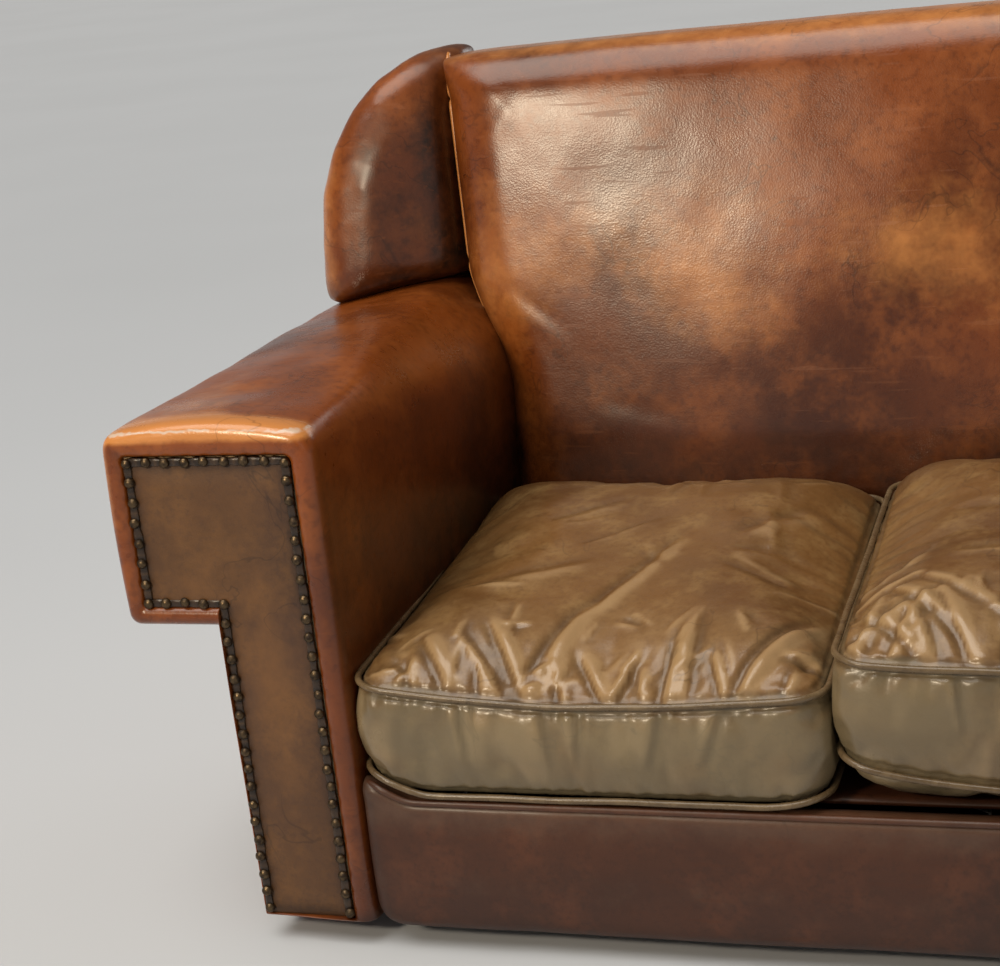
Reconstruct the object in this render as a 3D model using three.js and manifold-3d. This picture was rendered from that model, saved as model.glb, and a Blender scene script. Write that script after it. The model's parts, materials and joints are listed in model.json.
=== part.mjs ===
// A worn leather three-seat sofa with wings, built as it is upholstered: wooden boards, stuffing,
// zigzag springs, webbing and leather covers. Millimetres, +X right, +Z up, the front faces -Y.
import * as THREE from "three";
import { mergeVertices } from "three/addons/utils/BufferGeometryUtils.js";
import Module from "manifold-3d";

const wasm = await Module();
wasm.setup();

// Driving dimensions. Depths (y) are counted from the plane of the arm fronts, backwards.
const HALF_WIDTH = 1055; // out to the side of the arms' overhang
const DEPTH = 860; // from the front of the seat cushions to the outside back
const CUSHION_PROUD = 14; // how far the seat cushions stand forward of the arm fronts
const BACK_DEPTH = DEPTH - CUSHION_PROUD;
const HEIGHT = 938;
const FOOT = 30;
const LEATHER = 3;
const GAP = 0.3; // between pieces that touch
const SKIN = LEATHER + GAP;

const ARM_INNER = 802; // half the clear width between the arms
const ARM_POST = 943; // outer side of the arm's post
const ARM_TOP = 612;
const OVERHANG_UNDER = 390;
const ROLL = 24; // width of the padded roll round an arm's front edge
const ROLL_PROUD = 4;
const ROLL_BACK = 18;
const BOARD = 22; // thickness of the frame's boards

const DECK = 190; // top of the seat deck
const BACK_HALF = 845; // half the width of the back above the arms
const BACK_RAKE = 0.0614; // how much the outside back leans, for each millimetre of height
const BACK_EDGE_TOP = 895; // where the outside back ends, under the rolled top edge
const BACK_SPREAD = 0.07; // how much each side of the back widens, for each millimetre of height
const WING_TOP = 934;
const RAKE_TOP = WING_TOP - 4; // height at which the outside back is BACK_DEPTH behind the arm fronts
const WING_INNER = BACK_HALF + SKIN;
const WING_OUTER = 1050;
const WING_LEAN = 0.15;

const LOOKS = {
  cover: { color: 0x8a4a22, roughness: 0.38, metalness: 0 },
  facing: { color: 0x6b4a2c, roughness: 0.48, metalness: 0 },
  cushion: { color: 0x7a6444, roughness: 0.5, metalness: 0 },
  deck: { color: 0x5f3820, roughness: 0.55, metalness: 0 },
  wood: { color: 0xa98a5e, roughness: 0.75, metalness: 0 },
  foot: { color: 0x2c1c12, roughness: 0.5, metalness: 0 },
  steel: { color: 0x77787a, roughness: 0.4, metalness: 0.9 },
  stuffing: { color: 0xc9b791, roughness: 0.95, metalness: 0 },
  webbing: { color: 0xb49a6c, roughness: 0.95, metalness: 0 },
  dust_cloth: { color: 0x1d1c1b, roughness: 0.95, metalness: 0 },
};

// ---- outlines: lists of corners [u, v, radius], anticlockwise ----

// The same outline with every edge moved inwards by d.
function inset(corners, d) {
  const n = corners.length;
  const edges = corners.map(([u, v], i) => {
    const [p, q] = corners[(i + 1) % n];
    const length = Math.hypot(p - u, q - v);
    const du = (p - u) / length;
    const dv = (q - v) / length;
    return { du, dv, u: u - dv * d, v: v + du * d };
  });
  return corners.map(([, , r = 0], i) => {
    const a = edges[(i + n - 1) % n];
    const b = edges[i];
    const turn = a.du * b.dv - a.dv * b.du;
    const t = ((b.u - a.u) * b.dv - (b.v - a.v) * b.du) / turn;
    const radius = r === 0 ? 0 : Math.max(0.5, turn > 0 ? r - d : r + d);
    return [a.u + t * a.du, a.v + t * a.dv, radius];
  });
}

// A shape from an outline, its corners rounded by true arcs.
function shapeOf(corners) {
  const shape = new THREE.Shape();
  const n = corners.length;
  corners.forEach(([u, v, r = 0], i) => {
    const [pu, pv] = corners[(i + n - 1) % n];
    const [qu, qv] = corners[(i + 1) % n];
    const to = (x, y) => (i === 0 && !shape.curves.length ? shape.moveTo(x, y) : shape.lineTo(x, y));
    if (r === 0) {
      to(u, v);
      return;
    }
    const a = Math.atan2(pv - v, pu - u);
    const b = Math.atan2(qv - v, qu - u);
    const half = Math.abs(Math.atan2(Math.sin(b - a), Math.cos(b - a))) / 2;
    const reach = r / Math.tan(half);
    const middle = Math.atan2(Math.sin(a) + Math.sin(b), Math.cos(a) + Math.cos(b));
    const cu = u + (r / Math.sin(half)) * Math.cos(middle);
    const cv = v + (r / Math.sin(half)) * Math.sin(middle);
    const su = u + reach * Math.cos(a);
    const sv = v + reach * Math.sin(a);
    const eu = u + reach * Math.cos(b);
    const ev = v + reach * Math.sin(b);
    const left = (u - pu) * (qv - v) - (v - pv) * (qu - u) > 0;
    to(su, sv);
    shape.absarc(cu, cv, r, Math.atan2(sv - cv, su - cu), Math.atan2(ev - cv, eu - cu), !left);
  });
  return shape;
}

// ---- solids ----

function solidOf(geometry) {
  const bare = geometry.clone();
  bare.deleteAttribute("normal");
  bare.deleteAttribute("uv");
  const merged = mergeVertices(bare, 1e-3);
  return new wasm.Manifold(
    new wasm.Mesh({
      numProp: 3,
      vertProperties: merged.attributes.position.array,
      triVerts: new Uint32Array(merged.index.array),
    }),
  );
}

function extrude(corners, depth, curveSegments = 6) {
  return new THREE.ExtrudeGeometry(shapeOf(corners), { depth, bevelEnabled: false, curveSegments });
}

// An outline in (x, z), from depth y0 back to y1.
function frontView(corners, y0, y1, curveSegments) {
  const geometry = extrude(corners, y1 - y0, curveSegments);
  return solidOf(geometry.rotateX(Math.PI / 2).translate(0, y1, 0));
}

// An outline in (y, z), from x0 across to x1.
function sideView(corners, x0, x1, curveSegments) {
  const geometry = extrude(corners, x1 - x0, curveSegments);
  const turn = new THREE.Matrix4().makeBasis(
    new THREE.Vector3(0, 1, 0),
    new THREE.Vector3(0, 0, 1),
    new THREE.Vector3(1, 0, 0),
  );
  return solidOf(geometry.applyMatrix4(turn).translate(x0, 0, 0));
}

// An outline in (x, y), from z0 up to z1, leaning back by lean for each millimetre above z0.
// At z1 it is wider across than at z0, by the factor widening.
function planView(corners, z0, z1, lean, widening = 1) {
  const geometry = extrude(corners, z1 - z0, 8);
  const { position } = geometry.attributes;
  for (let i = 0; i < position.count; i++) {
    if (position.getZ(i) > 1) position.setX(i, position.getX(i) * widening);
  }
  const shear = new THREE.Matrix4().set(1, 0, 0, 0, 0, 1, lean, 0, 0, 0, 1, 0, 0, 0, 0, 1);
  return solidOf(geometry.applyMatrix4(shear).translate(0, 0, z0));
}

function box(x0, x1, y0, y1, z0, z1) {
  const geometry = new THREE.BoxGeometry(x1 - x0, y1 - y0, z1 - z0);
  return solidOf(geometry.translate((x0 + x1) / 2, (y0 + y1) / 2, (z0 + z1) / 2));
}

const rect = (u0, u1, v0, v1, r = 0) => [
  [u0, v0, r],
  [u1, v0, r],
  [u1, v1, r],
  [u0, v1, r],
];

// Everything between two depths in front of the raked plane of the outside back.
const backPlane = (z) => BACK_DEPTH + (z - RAKE_TOP) * BACK_RAKE;
function raked(nearer, farther) {
  const low = -50;
  const high = 1050;
  const corners = [
    [backPlane(low) - farther, low],
    [backPlane(low) - nearer, low],
    [backPlane(high) - nearer, high],
    [backPlane(high) - farther, high],
  ];
  return sideView(corners, -1200, 1200);
}
const inFrontOfBack = (nearer) => raked(nearer, 1200);

function named(name, solid, look) {
  const mesh = solid.getMesh();
  const geometry = new THREE.BufferGeometry();
  geometry.setAttribute("position", new THREE.BufferAttribute(mesh.vertProperties, 3));
  geometry.setIndex(new THREE.BufferAttribute(mesh.triVerts, 1));
  geometry.computeVertexNormals();
  const made = new THREE.Mesh(geometry, new THREE.MeshStandardMaterial(LOOKS[look]));
  made.name = name;
  return made;
}

// ---- arms: an upside-down L in front view, modelled for +X ----

const ARM = [
  [ARM_INNER, FOOT, 6],
  [ARM_POST, FOOT, 6],
  [ARM_POST, OVERHANG_UNDER, 8],
  [HALF_WIDTH, OVERHANG_UNDER, 14],
  [HALF_WIDTH, ARM_TOP, 20],
  [ARM_INNER, ARM_TOP, 45],
];
const FACING_INNER = 832;
const FACING = [
  [FACING_INNER, FOOT + SKIN],
  [ARM_POST - SKIN, FOOT + SKIN, 4],
  [ARM_POST - SKIN, OVERHANG_UNDER + ROLL + GAP],
  [HALF_WIDTH - ROLL - GAP, OVERHANG_UNDER + ROLL + GAP],
  [HALF_WIDTH - ROLL - GAP, ARM_TOP - ROLL - GAP],
  [FACING_INNER, ARM_TOP - ROLL - GAP],
];
const ARM_BOARD = [
  [ARM_INNER + SKIN + 0.5, FOOT + SKIN, 4],
  [ARM_POST - LEATHER - 0.5, FOOT + SKIN, 6],
  [ARM_POST - LEATHER - 0.5, OVERHANG_UNDER + ROLL + GAP],
  [HALF_WIDTH - ROLL - GAP, OVERHANG_UNDER + ROLL + GAP],
  [HALF_WIDTH - ROLL - GAP, ARM_TOP - ROLL - GAP],
  [ARM_INNER + SKIN + 0.5, ARM_TOP - ROLL - GAP, 34],
];
const STUFFING_FRONT = SKIN + BOARD + GAP;
const REAR_BOARD = 6; // depth of the rear board's back face in front of the outside back

function edgeRoll() {
  const inside = inset(ARM, ROLL).map(([x, z]) => [x, z]);
  const ring = frontView(ARM, -ROLL_PROUD, ROLL_BACK).subtract(frontView(inside, -50, 50));
  const post = box(700, ARM_POST + GAP, -50, 50, 0, OVERHANG_UNDER + ROLL + 1);
  const inner = box(700, FACING_INNER - 6, -50, 50, 0, 700);
  return ring.subtract(post).subtract(inner);
}

function armCover() {
  const tube = frontView(ARM, 0, 900).subtract(frontView(inset(ARM, LEATHER), -50, 950));
  const tucked = frontView(
    rect(ARM_INNER + 1, FACING_INNER - GAP, FOOT + 1, ARM_TOP - ROLL - GAP),
    0,
    LEATHER,
  );
  const rollSpace = box(FACING_INNER - 6 - GAP, 1200, -50, ROLL_BACK + GAP, OVERHANG_UNDER - 12, 700);
  const belowRoll = box(FACING_INNER, ARM_POST + GAP, -60, 60, 0, OVERHANG_UNDER + ROLL);
  return tube
    .subtract(rollSpace.subtract(belowRoll))
    .add(tucked.intersect(frontView(ARM, -1, 10)))
    .intersect(inFrontOfBack(SKIN));
}

const TOP_BOARD = [860, 1020, 560, 560 + BOARD];
const LOWER_RAIL = [870, 870 + BOARD, 45, 135];

// A board inside the arm, from the front board back to the rear board.
function armRail([x0, x1, z0, z1], room = 0) {
  const front = room ? 0 : STUFFING_FRONT;
  const back = room ? 0 : REAR_BOARD + BOARD + GAP;
  return box(x0 - room, x1 + room, front, 1000, z0 - room, z1 + room).intersect(inFrontOfBack(back));
}

function armPadding() {
  return frontView(inset(ARM, SKIN), STUFFING_FRONT, 900)
    .intersect(inFrontOfBack(REAR_BOARD + BOARD + GAP))
    .subtract(armRail(TOP_BOARD, GAP))
    .subtract(armRail(LOWER_RAIL, GAP));
}

const BAND_WIDTH = 10;
const BAND_THICK = 1.5;
function nailBand() {
  const below = FOOT + LEATHER + BAND_WIDTH + 2;
  return frontView(inset(FACING, 0.5), -BAND_THICK - GAP, -GAP)
    .subtract(frontView(inset(FACING, 0.5 + BAND_WIDTH), -50, 50))
    .subtract(box(FACING_INNER + BAND_WIDTH, ARM_POST - BAND_WIDTH - LEATHER, -50, 50, 0, below));
}

function foot(x, y) {
  const profile = [
    [0, 0],
    [24, 0],
    [26, 2],
    [31, FOOT - 6],
    [31, FOOT - GAP],
    [0, FOOT - GAP],
  ].map(([r, z]) => new THREE.Vector2(r, z));
  const turned = new THREE.LatheGeometry(profile, 20).rotateX(Math.PI / 2);
  return solidOf(turned.translate(x, y, 0));
}

function arm(side) {
  const group = new THREE.Group();
  group.scale.x = side === "left" ? -1 : 1;
  const prefix = side + "_arm_";
  const rear = REAR_BOARD + BOARD;
  group.add(
    named(prefix + "front_board", frontView(ARM_BOARD, SKIN, SKIN + BOARD), "wood"),
    named(
      prefix + "rear_board",
      frontView(ARM_BOARD, 600, 900).intersect(raked(REAR_BOARD, rear)),
      "wood",
    ),
    named(prefix + "top_board", armRail(TOP_BOARD), "wood"),
    named(prefix + "lower_rail", armRail(LOWER_RAIL), "wood"),
    named(prefix + "padding", armPadding(), "stuffing"),
    named(prefix + "cover", armCover(), "cover"),
    named(prefix + "edge_roll", edgeRoll(), "cover"),
    named(prefix + "facing", frontView(FACING, 0, LEATHER), "facing"),
    named(prefix + "nail_band", nailBand(), "facing"),
    named(side + "_front_foot", foot(872, 75), "foot"),
    named(side + "_rear_foot", foot(872, 725), "foot"),
  );
  return group;
}

// ---- seat ----

const SEAT_HALF = ARM_INNER - GAP;
const RAIL_FRONT = 12; // front face of the front rail's board
const RAIL = 25;
const RAIL_TOP = 160;
const RAIL_COVER = rect(-12, RAIL_FRONT + RAIL + 3, FOOT - 5, DECK, 12);
const RAIL_COVER_BACK = 30;
const BACK_RAIL = 690;
const SPRINGS = [-665, -400, -135, 135, 400, 665];
const WIRE = 3.6;

function railCover() {
  return sideView(RAIL_COVER, -SEAT_HALF, SEAT_HALF)
    .subtract(sideView(inset(RAIL_COVER, LEATHER), -900, 900))
    .intersect(box(-900, 900, -50, RAIL_COVER_BACK, 0, 300));
}

function railPadding() {
  const board = box(-900, 900, RAIL_FRONT - GAP, 60, 0, RAIL_TOP + GAP);
  return sideView(inset(RAIL_COVER, SKIN), -SEAT_HALF, SEAT_HALF)
    .intersect(box(-900, 900, -50, RAIL_COVER_BACK, 0, 300))
    .subtract(board);
}

// One zigzag spring, lying from the front rail to the back rail and arched a little.
function spring(x) {
  const waves = 8;
  const perWave = 6;
  const start = RAIL_COVER_BACK + 4;
  const end = BACK_RAIL + RAIL - 4;
  const points = [];
  for (let i = 0; i <= waves * perWave; i++) {
    const t = i / (waves * perWave);
    const swing = 24 * Math.sin(2 * Math.PI * waves * t);
    const arch = 6 * Math.sin(Math.PI * t);
    points.push(
      new THREE.Vector3(x + swing, start + (end - start) * t, RAIL_TOP + GAP + WIRE / 2 + 0.4 + arch),
    );
  }
  const half = WIRE / 2;
  const geometry = new THREE.ExtrudeGeometry(shapeOf(rect(-half, half, -half, half)), {
    steps: waves * perWave,
    extrudePath: new THREE.CatmullRomCurve3(points),
    bevelEnabled: false,
  });
  return solidOf(geometry);
}

function seat() {
  const group = new THREE.Group();
  const half = SEAT_HALF - 4;
  const behindRail = RAIL_FRONT + RAIL + GAP;
  const deckFront = RAIL_COVER_BACK + GAP;
  const deckBack = BACK_RAIL + RAIL;
  group.add(
    named("seat_front_rail", box(-half, half, RAIL_FRONT, RAIL_FRONT + RAIL, 36, RAIL_TOP), "wood"),
    named("seat_back_rail", box(-half, half, BACK_RAIL, BACK_RAIL + RAIL, 60, RAIL_TOP), "wood"),
    named("seat_stretcher", box(-18, 18, behindRail, BACK_RAIL - GAP, 60, 110), "wood"),
    named("front_rail_padding", railPadding(), "stuffing"),
    named("front_rail_cover", railCover(), "cover"),
    named(
      "seat_deck_padding",
      box(-SEAT_HALF, SEAT_HALF, deckFront, deckBack, 172, DECK - SKIN),
      "stuffing",
    ),
    named(
      "seat_deck_cover",
      box(-SEAT_HALF, SEAT_HALF, deckFront, deckBack, DECK - LEATHER, DECK),
      "deck",
    ),
    named("dust_cover", box(-half, half, behindRail, 780, 32, 33.5), "dust_cloth"),
  );
  SPRINGS.forEach((x, i) => group.add(named("seat_spring_" + (i + 1), spring(x), "steel")));
  return group;
}

// A loose seat cushion: crowned on top, boxed at its sides, between x0 and x1.
function cushion(x0, x1, lift) {
  const middle = (x0 + x1) / 2;
  const bottom = DECK + GAP;
  const edge = bottom + lift;
  const back = 578;
  const side = [
    [-CUSHION_PROUD, edge, 16],
    [290, bottom - lift, lift ? 900 : 0],
    [back, edge, 16],
    [back, 350 + lift / 2, 26],
    [290, 404 + lift / 2, 520],
    [-CUSHION_PROUD, 322 + lift, 20],
  ];
  const front = [
    [x0, edge, 16],
    [middle, bottom - lift, lift ? 900 : 0],
    [x1, edge, 16],
    [x1, 326 + lift, 22],
    [middle, 400 + lift / 2, 520],
    [x0, 326 + lift, 22],
  ];
  const flat = box(x0 - 1, x1 + 1, -60, back + 10, bottom, 500);
  return sideView(lift ? side : side.filter((c, i) => i !== 1), x0 - 1, x1 + 1, 8)
    .intersect(frontView(lift ? front : front.filter((c, i) => i !== 1), -60, back + 10, 8))
    .intersect(flat);
}

function cushions() {
  const third = 270;
  const slack = 1.5;
  const group = new THREE.Group();
  group.add(
    named("left_seat_cushion", cushion(-SEAT_HALF + slack, -third - slack, 0), "cushion"),
    named("middle_seat_cushion", cushion(-third + slack, third - slack, 40), "cushion"),
    named("right_seat_cushion", cushion(third + slack, SEAT_HALF - slack, 0), "cushion"),
  );
  return group;
}

// ---- back ----

const BACK_FRONT_LOW = 584; // the inside back's face just above the seat deck
const BACK_BOTTOM = DECK + GAP;
const BACK_SECTION = [
  [BACK_FRONT_LOW, BACK_BOTTOM],
  [backPlane(BACK_BOTTOM) - SKIN, BACK_BOTTOM],
  [backPlane(HEIGHT) - SKIN, HEIGHT, 42],
  [704, HEIGHT, 52],
  [606, 430, 900],
];
const BACK_FRAME = 8; // depth of the frame's back face in front of the outside back
const POST = 45;
const TOP_RAIL = [858, 893];
const LOWER_BACK_RAIL = [235, 295];

const spread = (z) => (z - ARM_TOP - GAP) * BACK_SPREAD;

// The back seen from the front: between the arms below, over them above.
function backOutline(d) {
  const wide = BACK_HALF - d;
  const narrow = SEAT_HALF - d;
  const step = ARM_TOP + GAP + d;
  return [
    [-narrow, 150],
    [narrow, 150],
    [narrow, step],
    [wide, step],
    [wide + spread(1000), 1000],
    [-wide - spread(1000), 1000],
    [-wide, step],
    [-narrow, step],
  ];
}

// The back seen from above, at height low: its front rounds off towards both sides.
function backPlan(d) {
  const low = 100;
  const high = 1100;
  const wide = BACK_HALF - d + spread(low);
  const corners = [
    [-wide, 560 + d, 75],
    [0, 548 + d, 2000],
    [wide, 560 + d, 75],
    [wide, 1300],
    [-wide, 1300],
  ];
  return planView(corners, low, high, 0.166, 1 + (spread(high) - spread(low)) / wide);
}

function backForm(d) {
  return sideView(inset(BACK_SECTION, d), -900, 900, 8)
    .intersect(frontView(backOutline(d), 300, 1000))
    .intersect(backPlan(d));
}

function insideBackCover() {
  const sheet = sideView(BACK_SECTION, -900, 900, 8)
    .intersect(backPlan(0))
    .subtract(sideView(inset(BACK_SECTION, LEATHER), -900, 900, 8).intersect(backPlan(LEATHER)));
  return sheet
    .intersect(frontView(backOutline(0), 300, 1000))
    .intersect(inFrontOfBack(BACK_FRAME))
    .intersect(box(-900, 900, 0, 1000, BACK_BOTTOM + 4, 1000));
}

function backPadding() {
  const frameSpace = raked(-20, BACK_FRAME + POST + 4).intersect(
    box(-900, 900, 0, 1000, 0, TOP_RAIL[1] + GAP),
  );
  return backForm(SKIN).subtract(frameSpace).intersect(inFrontOfBack(BACK_FRAME));
}

function outsideBackCover() {
  const edge = 4;
  const back = frontView(rect(-BACK_HALF - 20, BACK_HALF + 20, FOOT + 1, BACK_EDGE_TOP), 600, 950);
  const sides = [-1, 1].map((side) => {
    const mirrored = (corners) =>
      side > 0 ? corners : corners.map(([x, z, r]) => [-x, z, r]).reverse();
    return frontView(mirrored(inset(ARM, edge)), 600, 950).add(
      frontView(mirrored(wingOutline(WING_TOP - RAKE_TOP, BACK_HALF)), 600, 950),
    );
  });
  return back.add(sides[0]).add(sides[1]).intersect(raked(0, LEATHER));
}

function back() {
  const group = new THREE.Group();
  const inner = 744;
  const plank = (x0, x1, z0, z1, depth) =>
    box(x0, x1, 600, 950, z0, z1).intersect(raked(BACK_FRAME, BACK_FRAME + depth));
  const rail = (z0, z1) => plank(-inner + GAP, inner - GAP, z0, z1, 32);
  group.add(
    named("left_back_post", plank(-inner - 30, -inner, 62, TOP_RAIL[1], POST), "wood"),
    named("right_back_post", plank(inner, inner + 30, 62, TOP_RAIL[1], POST), "wood"),
    named("back_top_rail", rail(...TOP_RAIL), "wood"),
    named("back_lower_rail", rail(...LOWER_BACK_RAIL), "wood"),
    named("back_padding", backPadding(), "stuffing"),
    named("inside_back_cover", insideBackCover(), "cover"),
    named("outside_back_cover", outsideBackCover(), "cover"),
  );
  const strap = raked(BACK_FRAME + 32 + GAP, BACK_FRAME + 32 + GAP + 2.5);
  ["left", "middle", "right"].forEach((place, i) => {
    const x = (i - 1) * 370;
    const piece = box(x - 27, x + 27, 600, 950, LOWER_BACK_RAIL[0] + 3, TOP_RAIL[1] - 3);
    group.add(named(place + "_back_webbing", piece.intersect(strap), "webbing"));
  });
  return group;
}

// ---- wings, modelled for +X: padded ears that stand on the arms and turn forward ----

const WING_BOTTOM = ARM_TOP + GAP;
const WING_SHOULDER = 696; // above this the outer edge curves in to the top
const WING_CENTRE = 877; // where that curve reaches the top
const WING_FACE = 712; // depth of the wing's face where it meets the back
const WING_NOSE = 614; // depth of the wing's padded outer edge
function wingOutline(d, innerX) {
  const corners = [
    [innerX, WING_BOTTOM + d],
    [WING_OUTER - d, WING_BOTTOM + d, 22],
  ];
  const steps = 10;
  for (let i = 0; i <= steps; i++) {
    const a = ((Math.PI / 2) * i) / steps;
    const x = WING_CENTRE + (WING_OUTER - d - WING_CENTRE) * Math.cos(a);
    const z = WING_SHOULDER + (WING_TOP - d - WING_SHOULDER) * Math.sin(a);
    corners.push([x, z]);
  }
  corners.push([innerX + spread(WING_TOP), WING_TOP - d]);
  return corners;
}

function wingPlan(d) {
  const slope = (WING_FACE - WING_NOSE) / (WING_OUTER - WING_INNER);
  const inner = WING_INNER - 100;
  return [
    [inner, WING_FACE + d + 100 * slope],
    [WING_OUTER - 2 * d, WING_NOSE + 1.2 * d, 38],
    [WING_OUTER - d, 1000],
    [inner, 1000],
  ];
}

function wingForm(d, innerX) {
  return planView(wingPlan(d), WING_BOTTOM - 5, 1000, WING_LEAN).intersect(
    frontView(wingOutline(d, innerX), 400, 1000),
  );
}

function wing(side) {
  const group = new THREE.Group();
  group.scale.x = side === "left" ? -1 : 1;
  const board = BACK_FRAME + 20;
  const padding = wingForm(SKIN, WING_INNER + GAP).intersect(inFrontOfBack(board + GAP));
  const cover = wingForm(0, WING_INNER)
    .subtract(wingForm(LEATHER, WING_INNER - 60))
    .intersect(inFrontOfBack(SKIN));
  group.add(
    named(
      side + "_wing_board",
      frontView(wingOutline(12, WING_INNER + 6), 400, 1000).intersect(raked(BACK_FRAME, board)),
      "wood",
    ),
    named(side + "_wing_padding", padding, "stuffing"),
    named(side + "_wing_cover", cover, "cover"),
  );
  return group;
}

const sofa = new THREE.Group();
sofa.position.y = CUSHION_PROUD - DEPTH / 2;
sofa.add(arm("left"), arm("right"), seat(), cushions(), back(), wing("left"), wing("right"));

export default sofa;
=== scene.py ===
"""A worn three-seat leather sofa: inverted-L arms with nailed facings, padded ears, loose cushions.

Lengths in the shape tables are millimetres in the frame's own axes: X to the right, Z up,
and "depth" measured back from the front of the arms. Meshes are made in metres.
"""
import json
import math

import bmesh
import bpy
import numpy as np
from mathutils import Matrix, Vector


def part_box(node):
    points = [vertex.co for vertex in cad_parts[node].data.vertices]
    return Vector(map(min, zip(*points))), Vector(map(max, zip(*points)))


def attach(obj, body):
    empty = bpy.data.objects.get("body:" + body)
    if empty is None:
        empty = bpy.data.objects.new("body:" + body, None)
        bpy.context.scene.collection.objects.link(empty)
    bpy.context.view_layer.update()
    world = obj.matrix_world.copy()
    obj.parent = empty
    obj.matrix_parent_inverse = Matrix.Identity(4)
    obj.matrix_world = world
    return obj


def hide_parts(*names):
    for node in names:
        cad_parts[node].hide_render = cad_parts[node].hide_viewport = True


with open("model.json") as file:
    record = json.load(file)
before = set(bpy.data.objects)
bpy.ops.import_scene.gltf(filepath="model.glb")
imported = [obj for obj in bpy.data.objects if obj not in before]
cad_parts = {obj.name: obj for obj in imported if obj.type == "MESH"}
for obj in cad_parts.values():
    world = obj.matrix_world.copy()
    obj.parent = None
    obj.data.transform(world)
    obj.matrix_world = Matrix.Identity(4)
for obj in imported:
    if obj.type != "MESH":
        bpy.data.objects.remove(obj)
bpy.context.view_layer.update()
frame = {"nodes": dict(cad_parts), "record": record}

bl_info = {
    "name": "Worn Leather Sofa",
    "version": (1, 0, 0),
    "blender": (4, 5, 0),
    "location": "3D View > Sidebar > Sofa",
    "description": "Builds the leather skins, cushions, nails and finishes of a worn sofa round its frame",
    "category": "Add Mesh",
}

MM = 0.001


def reach(node):
    """The lowest and highest corners of a frame node, in millimetres."""
    low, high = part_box(node)
    return np.array(low) / MM, np.array(high) / MM


ARM_LOW, ARM_HIGH = reach("right_arm_cover")
FACING_LOW, FACING_HIGH = reach("right_arm_facing")
WING_LOW, WING_HIGH = reach("right_wing_cover")
PANEL_LOW, PANEL_HIGH = reach("outside_back_cover")
RAIL_LOW, RAIL_HIGH = reach("front_rail_cover")
DECK_LOW, DECK_HIGH = reach("seat_deck_cover")

FRONT = ARM_LOW[1]
ARM_IN, ARM_OUT = ARM_LOW[0], ARM_HIGH[0]
ARM_FOOT, ARM_TOP = ARM_LOW[2], ARM_HIGH[2]
POST_OUT = 943.0  # outside of the arm's post
OVERHANG = 390.0  # underside of the arm where it stands out past its post
FACING_UNDER = 415.0  # underside of the facing there
SEAT_TOP = DECK_HIGH[2]
BACK_FOOT = 192.0  # lowest edge of the inside back
PANEL_TOP = 896.0
PANEL_HEAD = 930.0  # height at which the raked outside back stands farthest out
PANEL_RAKE = 0.0614  # how far it leans forward for each millimetre below that

CORNER_STEPS = 6
CORD_SIDES = 8
CREST_LINE = 100.0  # the "crest" mask holds this plus the height above the arm's crest; 0 is elsewhere


def panel_plane(z):
    """How far back the outside back's plane stands at a height."""
    return PANEL_HIGH[1] - PANEL_RAKE * (PANEL_HEAD - z)


# ---------------------------------------------------------------- shape helpers


def smooth(value, start, end):
    """0 below start, 1 above end, and an even S curve between."""
    share = np.clip((value - start) / (end - start), 0.0, 1.0)
    return share * share * (3.0 - 2.0 * share)


def hill(value, centre, width):
    """A soft bump, 1 at the centre."""
    return np.exp(-(((value - centre) / width) ** 2))


def lumps(points, size, seed, waves=16):
    """Gentle unevenness from about -1 to 1, in waves of about the given size in millimetres."""
    draw = np.random.default_rng(seed)
    ways = draw.normal(size=(waves, 3))
    ways /= np.linalg.norm(ways, axis=1)[:, None]
    sizes = size * draw.uniform(0.7, 1.7, waves)
    phases = draw.uniform(0.0, 2.0 * math.pi, waves)
    turns = points @ (ways.T * 2.0 * math.pi / sizes) + phases
    return np.sin(turns).sum(axis=1) / math.sqrt(2.0 * waves)


def crease(flat, start, end, width, depth):
    """A pulled crease in a flat layout from start to end: a groove with a raised lip at one side."""
    start, end = np.array(start, float), np.array(end, float)
    run = end - start
    length = np.linalg.norm(run)
    gone = flat - start
    along = (gone @ run) / length**2
    aside = (gone[:, 0] * run[1] - gone[:, 1] * run[0]) / length / width
    ends = smooth(along, -0.08, 0.15) * (1.0 - smooth(along, 0.6, 1.08))
    return depth * ends * (0.8 * hill(aside, 1.15, 1.0) - hill(aside, 0.0, 0.62))


def rounded(corners, edge_steps):
    """Points round a closed outline of square corners, each (across, up, radius in, radius out)."""
    places = [np.array(corner[:2], float) for corner in corners]
    arcs = []
    for i, (_, _, radius_in, radius_out) in enumerate(corners):
        before = places[i - 1] - places[i]
        after = places[(i + 1) % len(corners)] - places[i]
        before *= radius_in / np.linalg.norm(before)
        after *= radius_out / np.linalg.norm(after)
        turn = np.linspace(0.0, math.pi / 2.0, CORNER_STEPS + 1)[:, None]
        arcs.append(places[i] + before + after - after * np.cos(turn) - before * np.sin(turn))
    ring = []
    for i, arc in enumerate(arcs):
        ring.extend(arc)
        share = np.linspace(0.0, 1.0, edge_steps[i] + 1)[1:-1, None]
        ring.extend(arc[-1] + (arcs[(i + 1) % len(arcs)][0] - arc[-1]) * share)
    return np.array(ring + ring[:1])


def finished(mesh_maker, name):
    """A new object at the origin that holds the finished bmesh, shaded smooth."""
    mesh = bpy.data.meshes.new(name)
    mesh_maker.to_mesh(mesh)
    mesh_maker.free()
    mesh.shade_smooth()
    piece = bpy.data.objects.new(name, mesh)
    bpy.context.scene.collection.objects.link(piece)
    return piece


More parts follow.
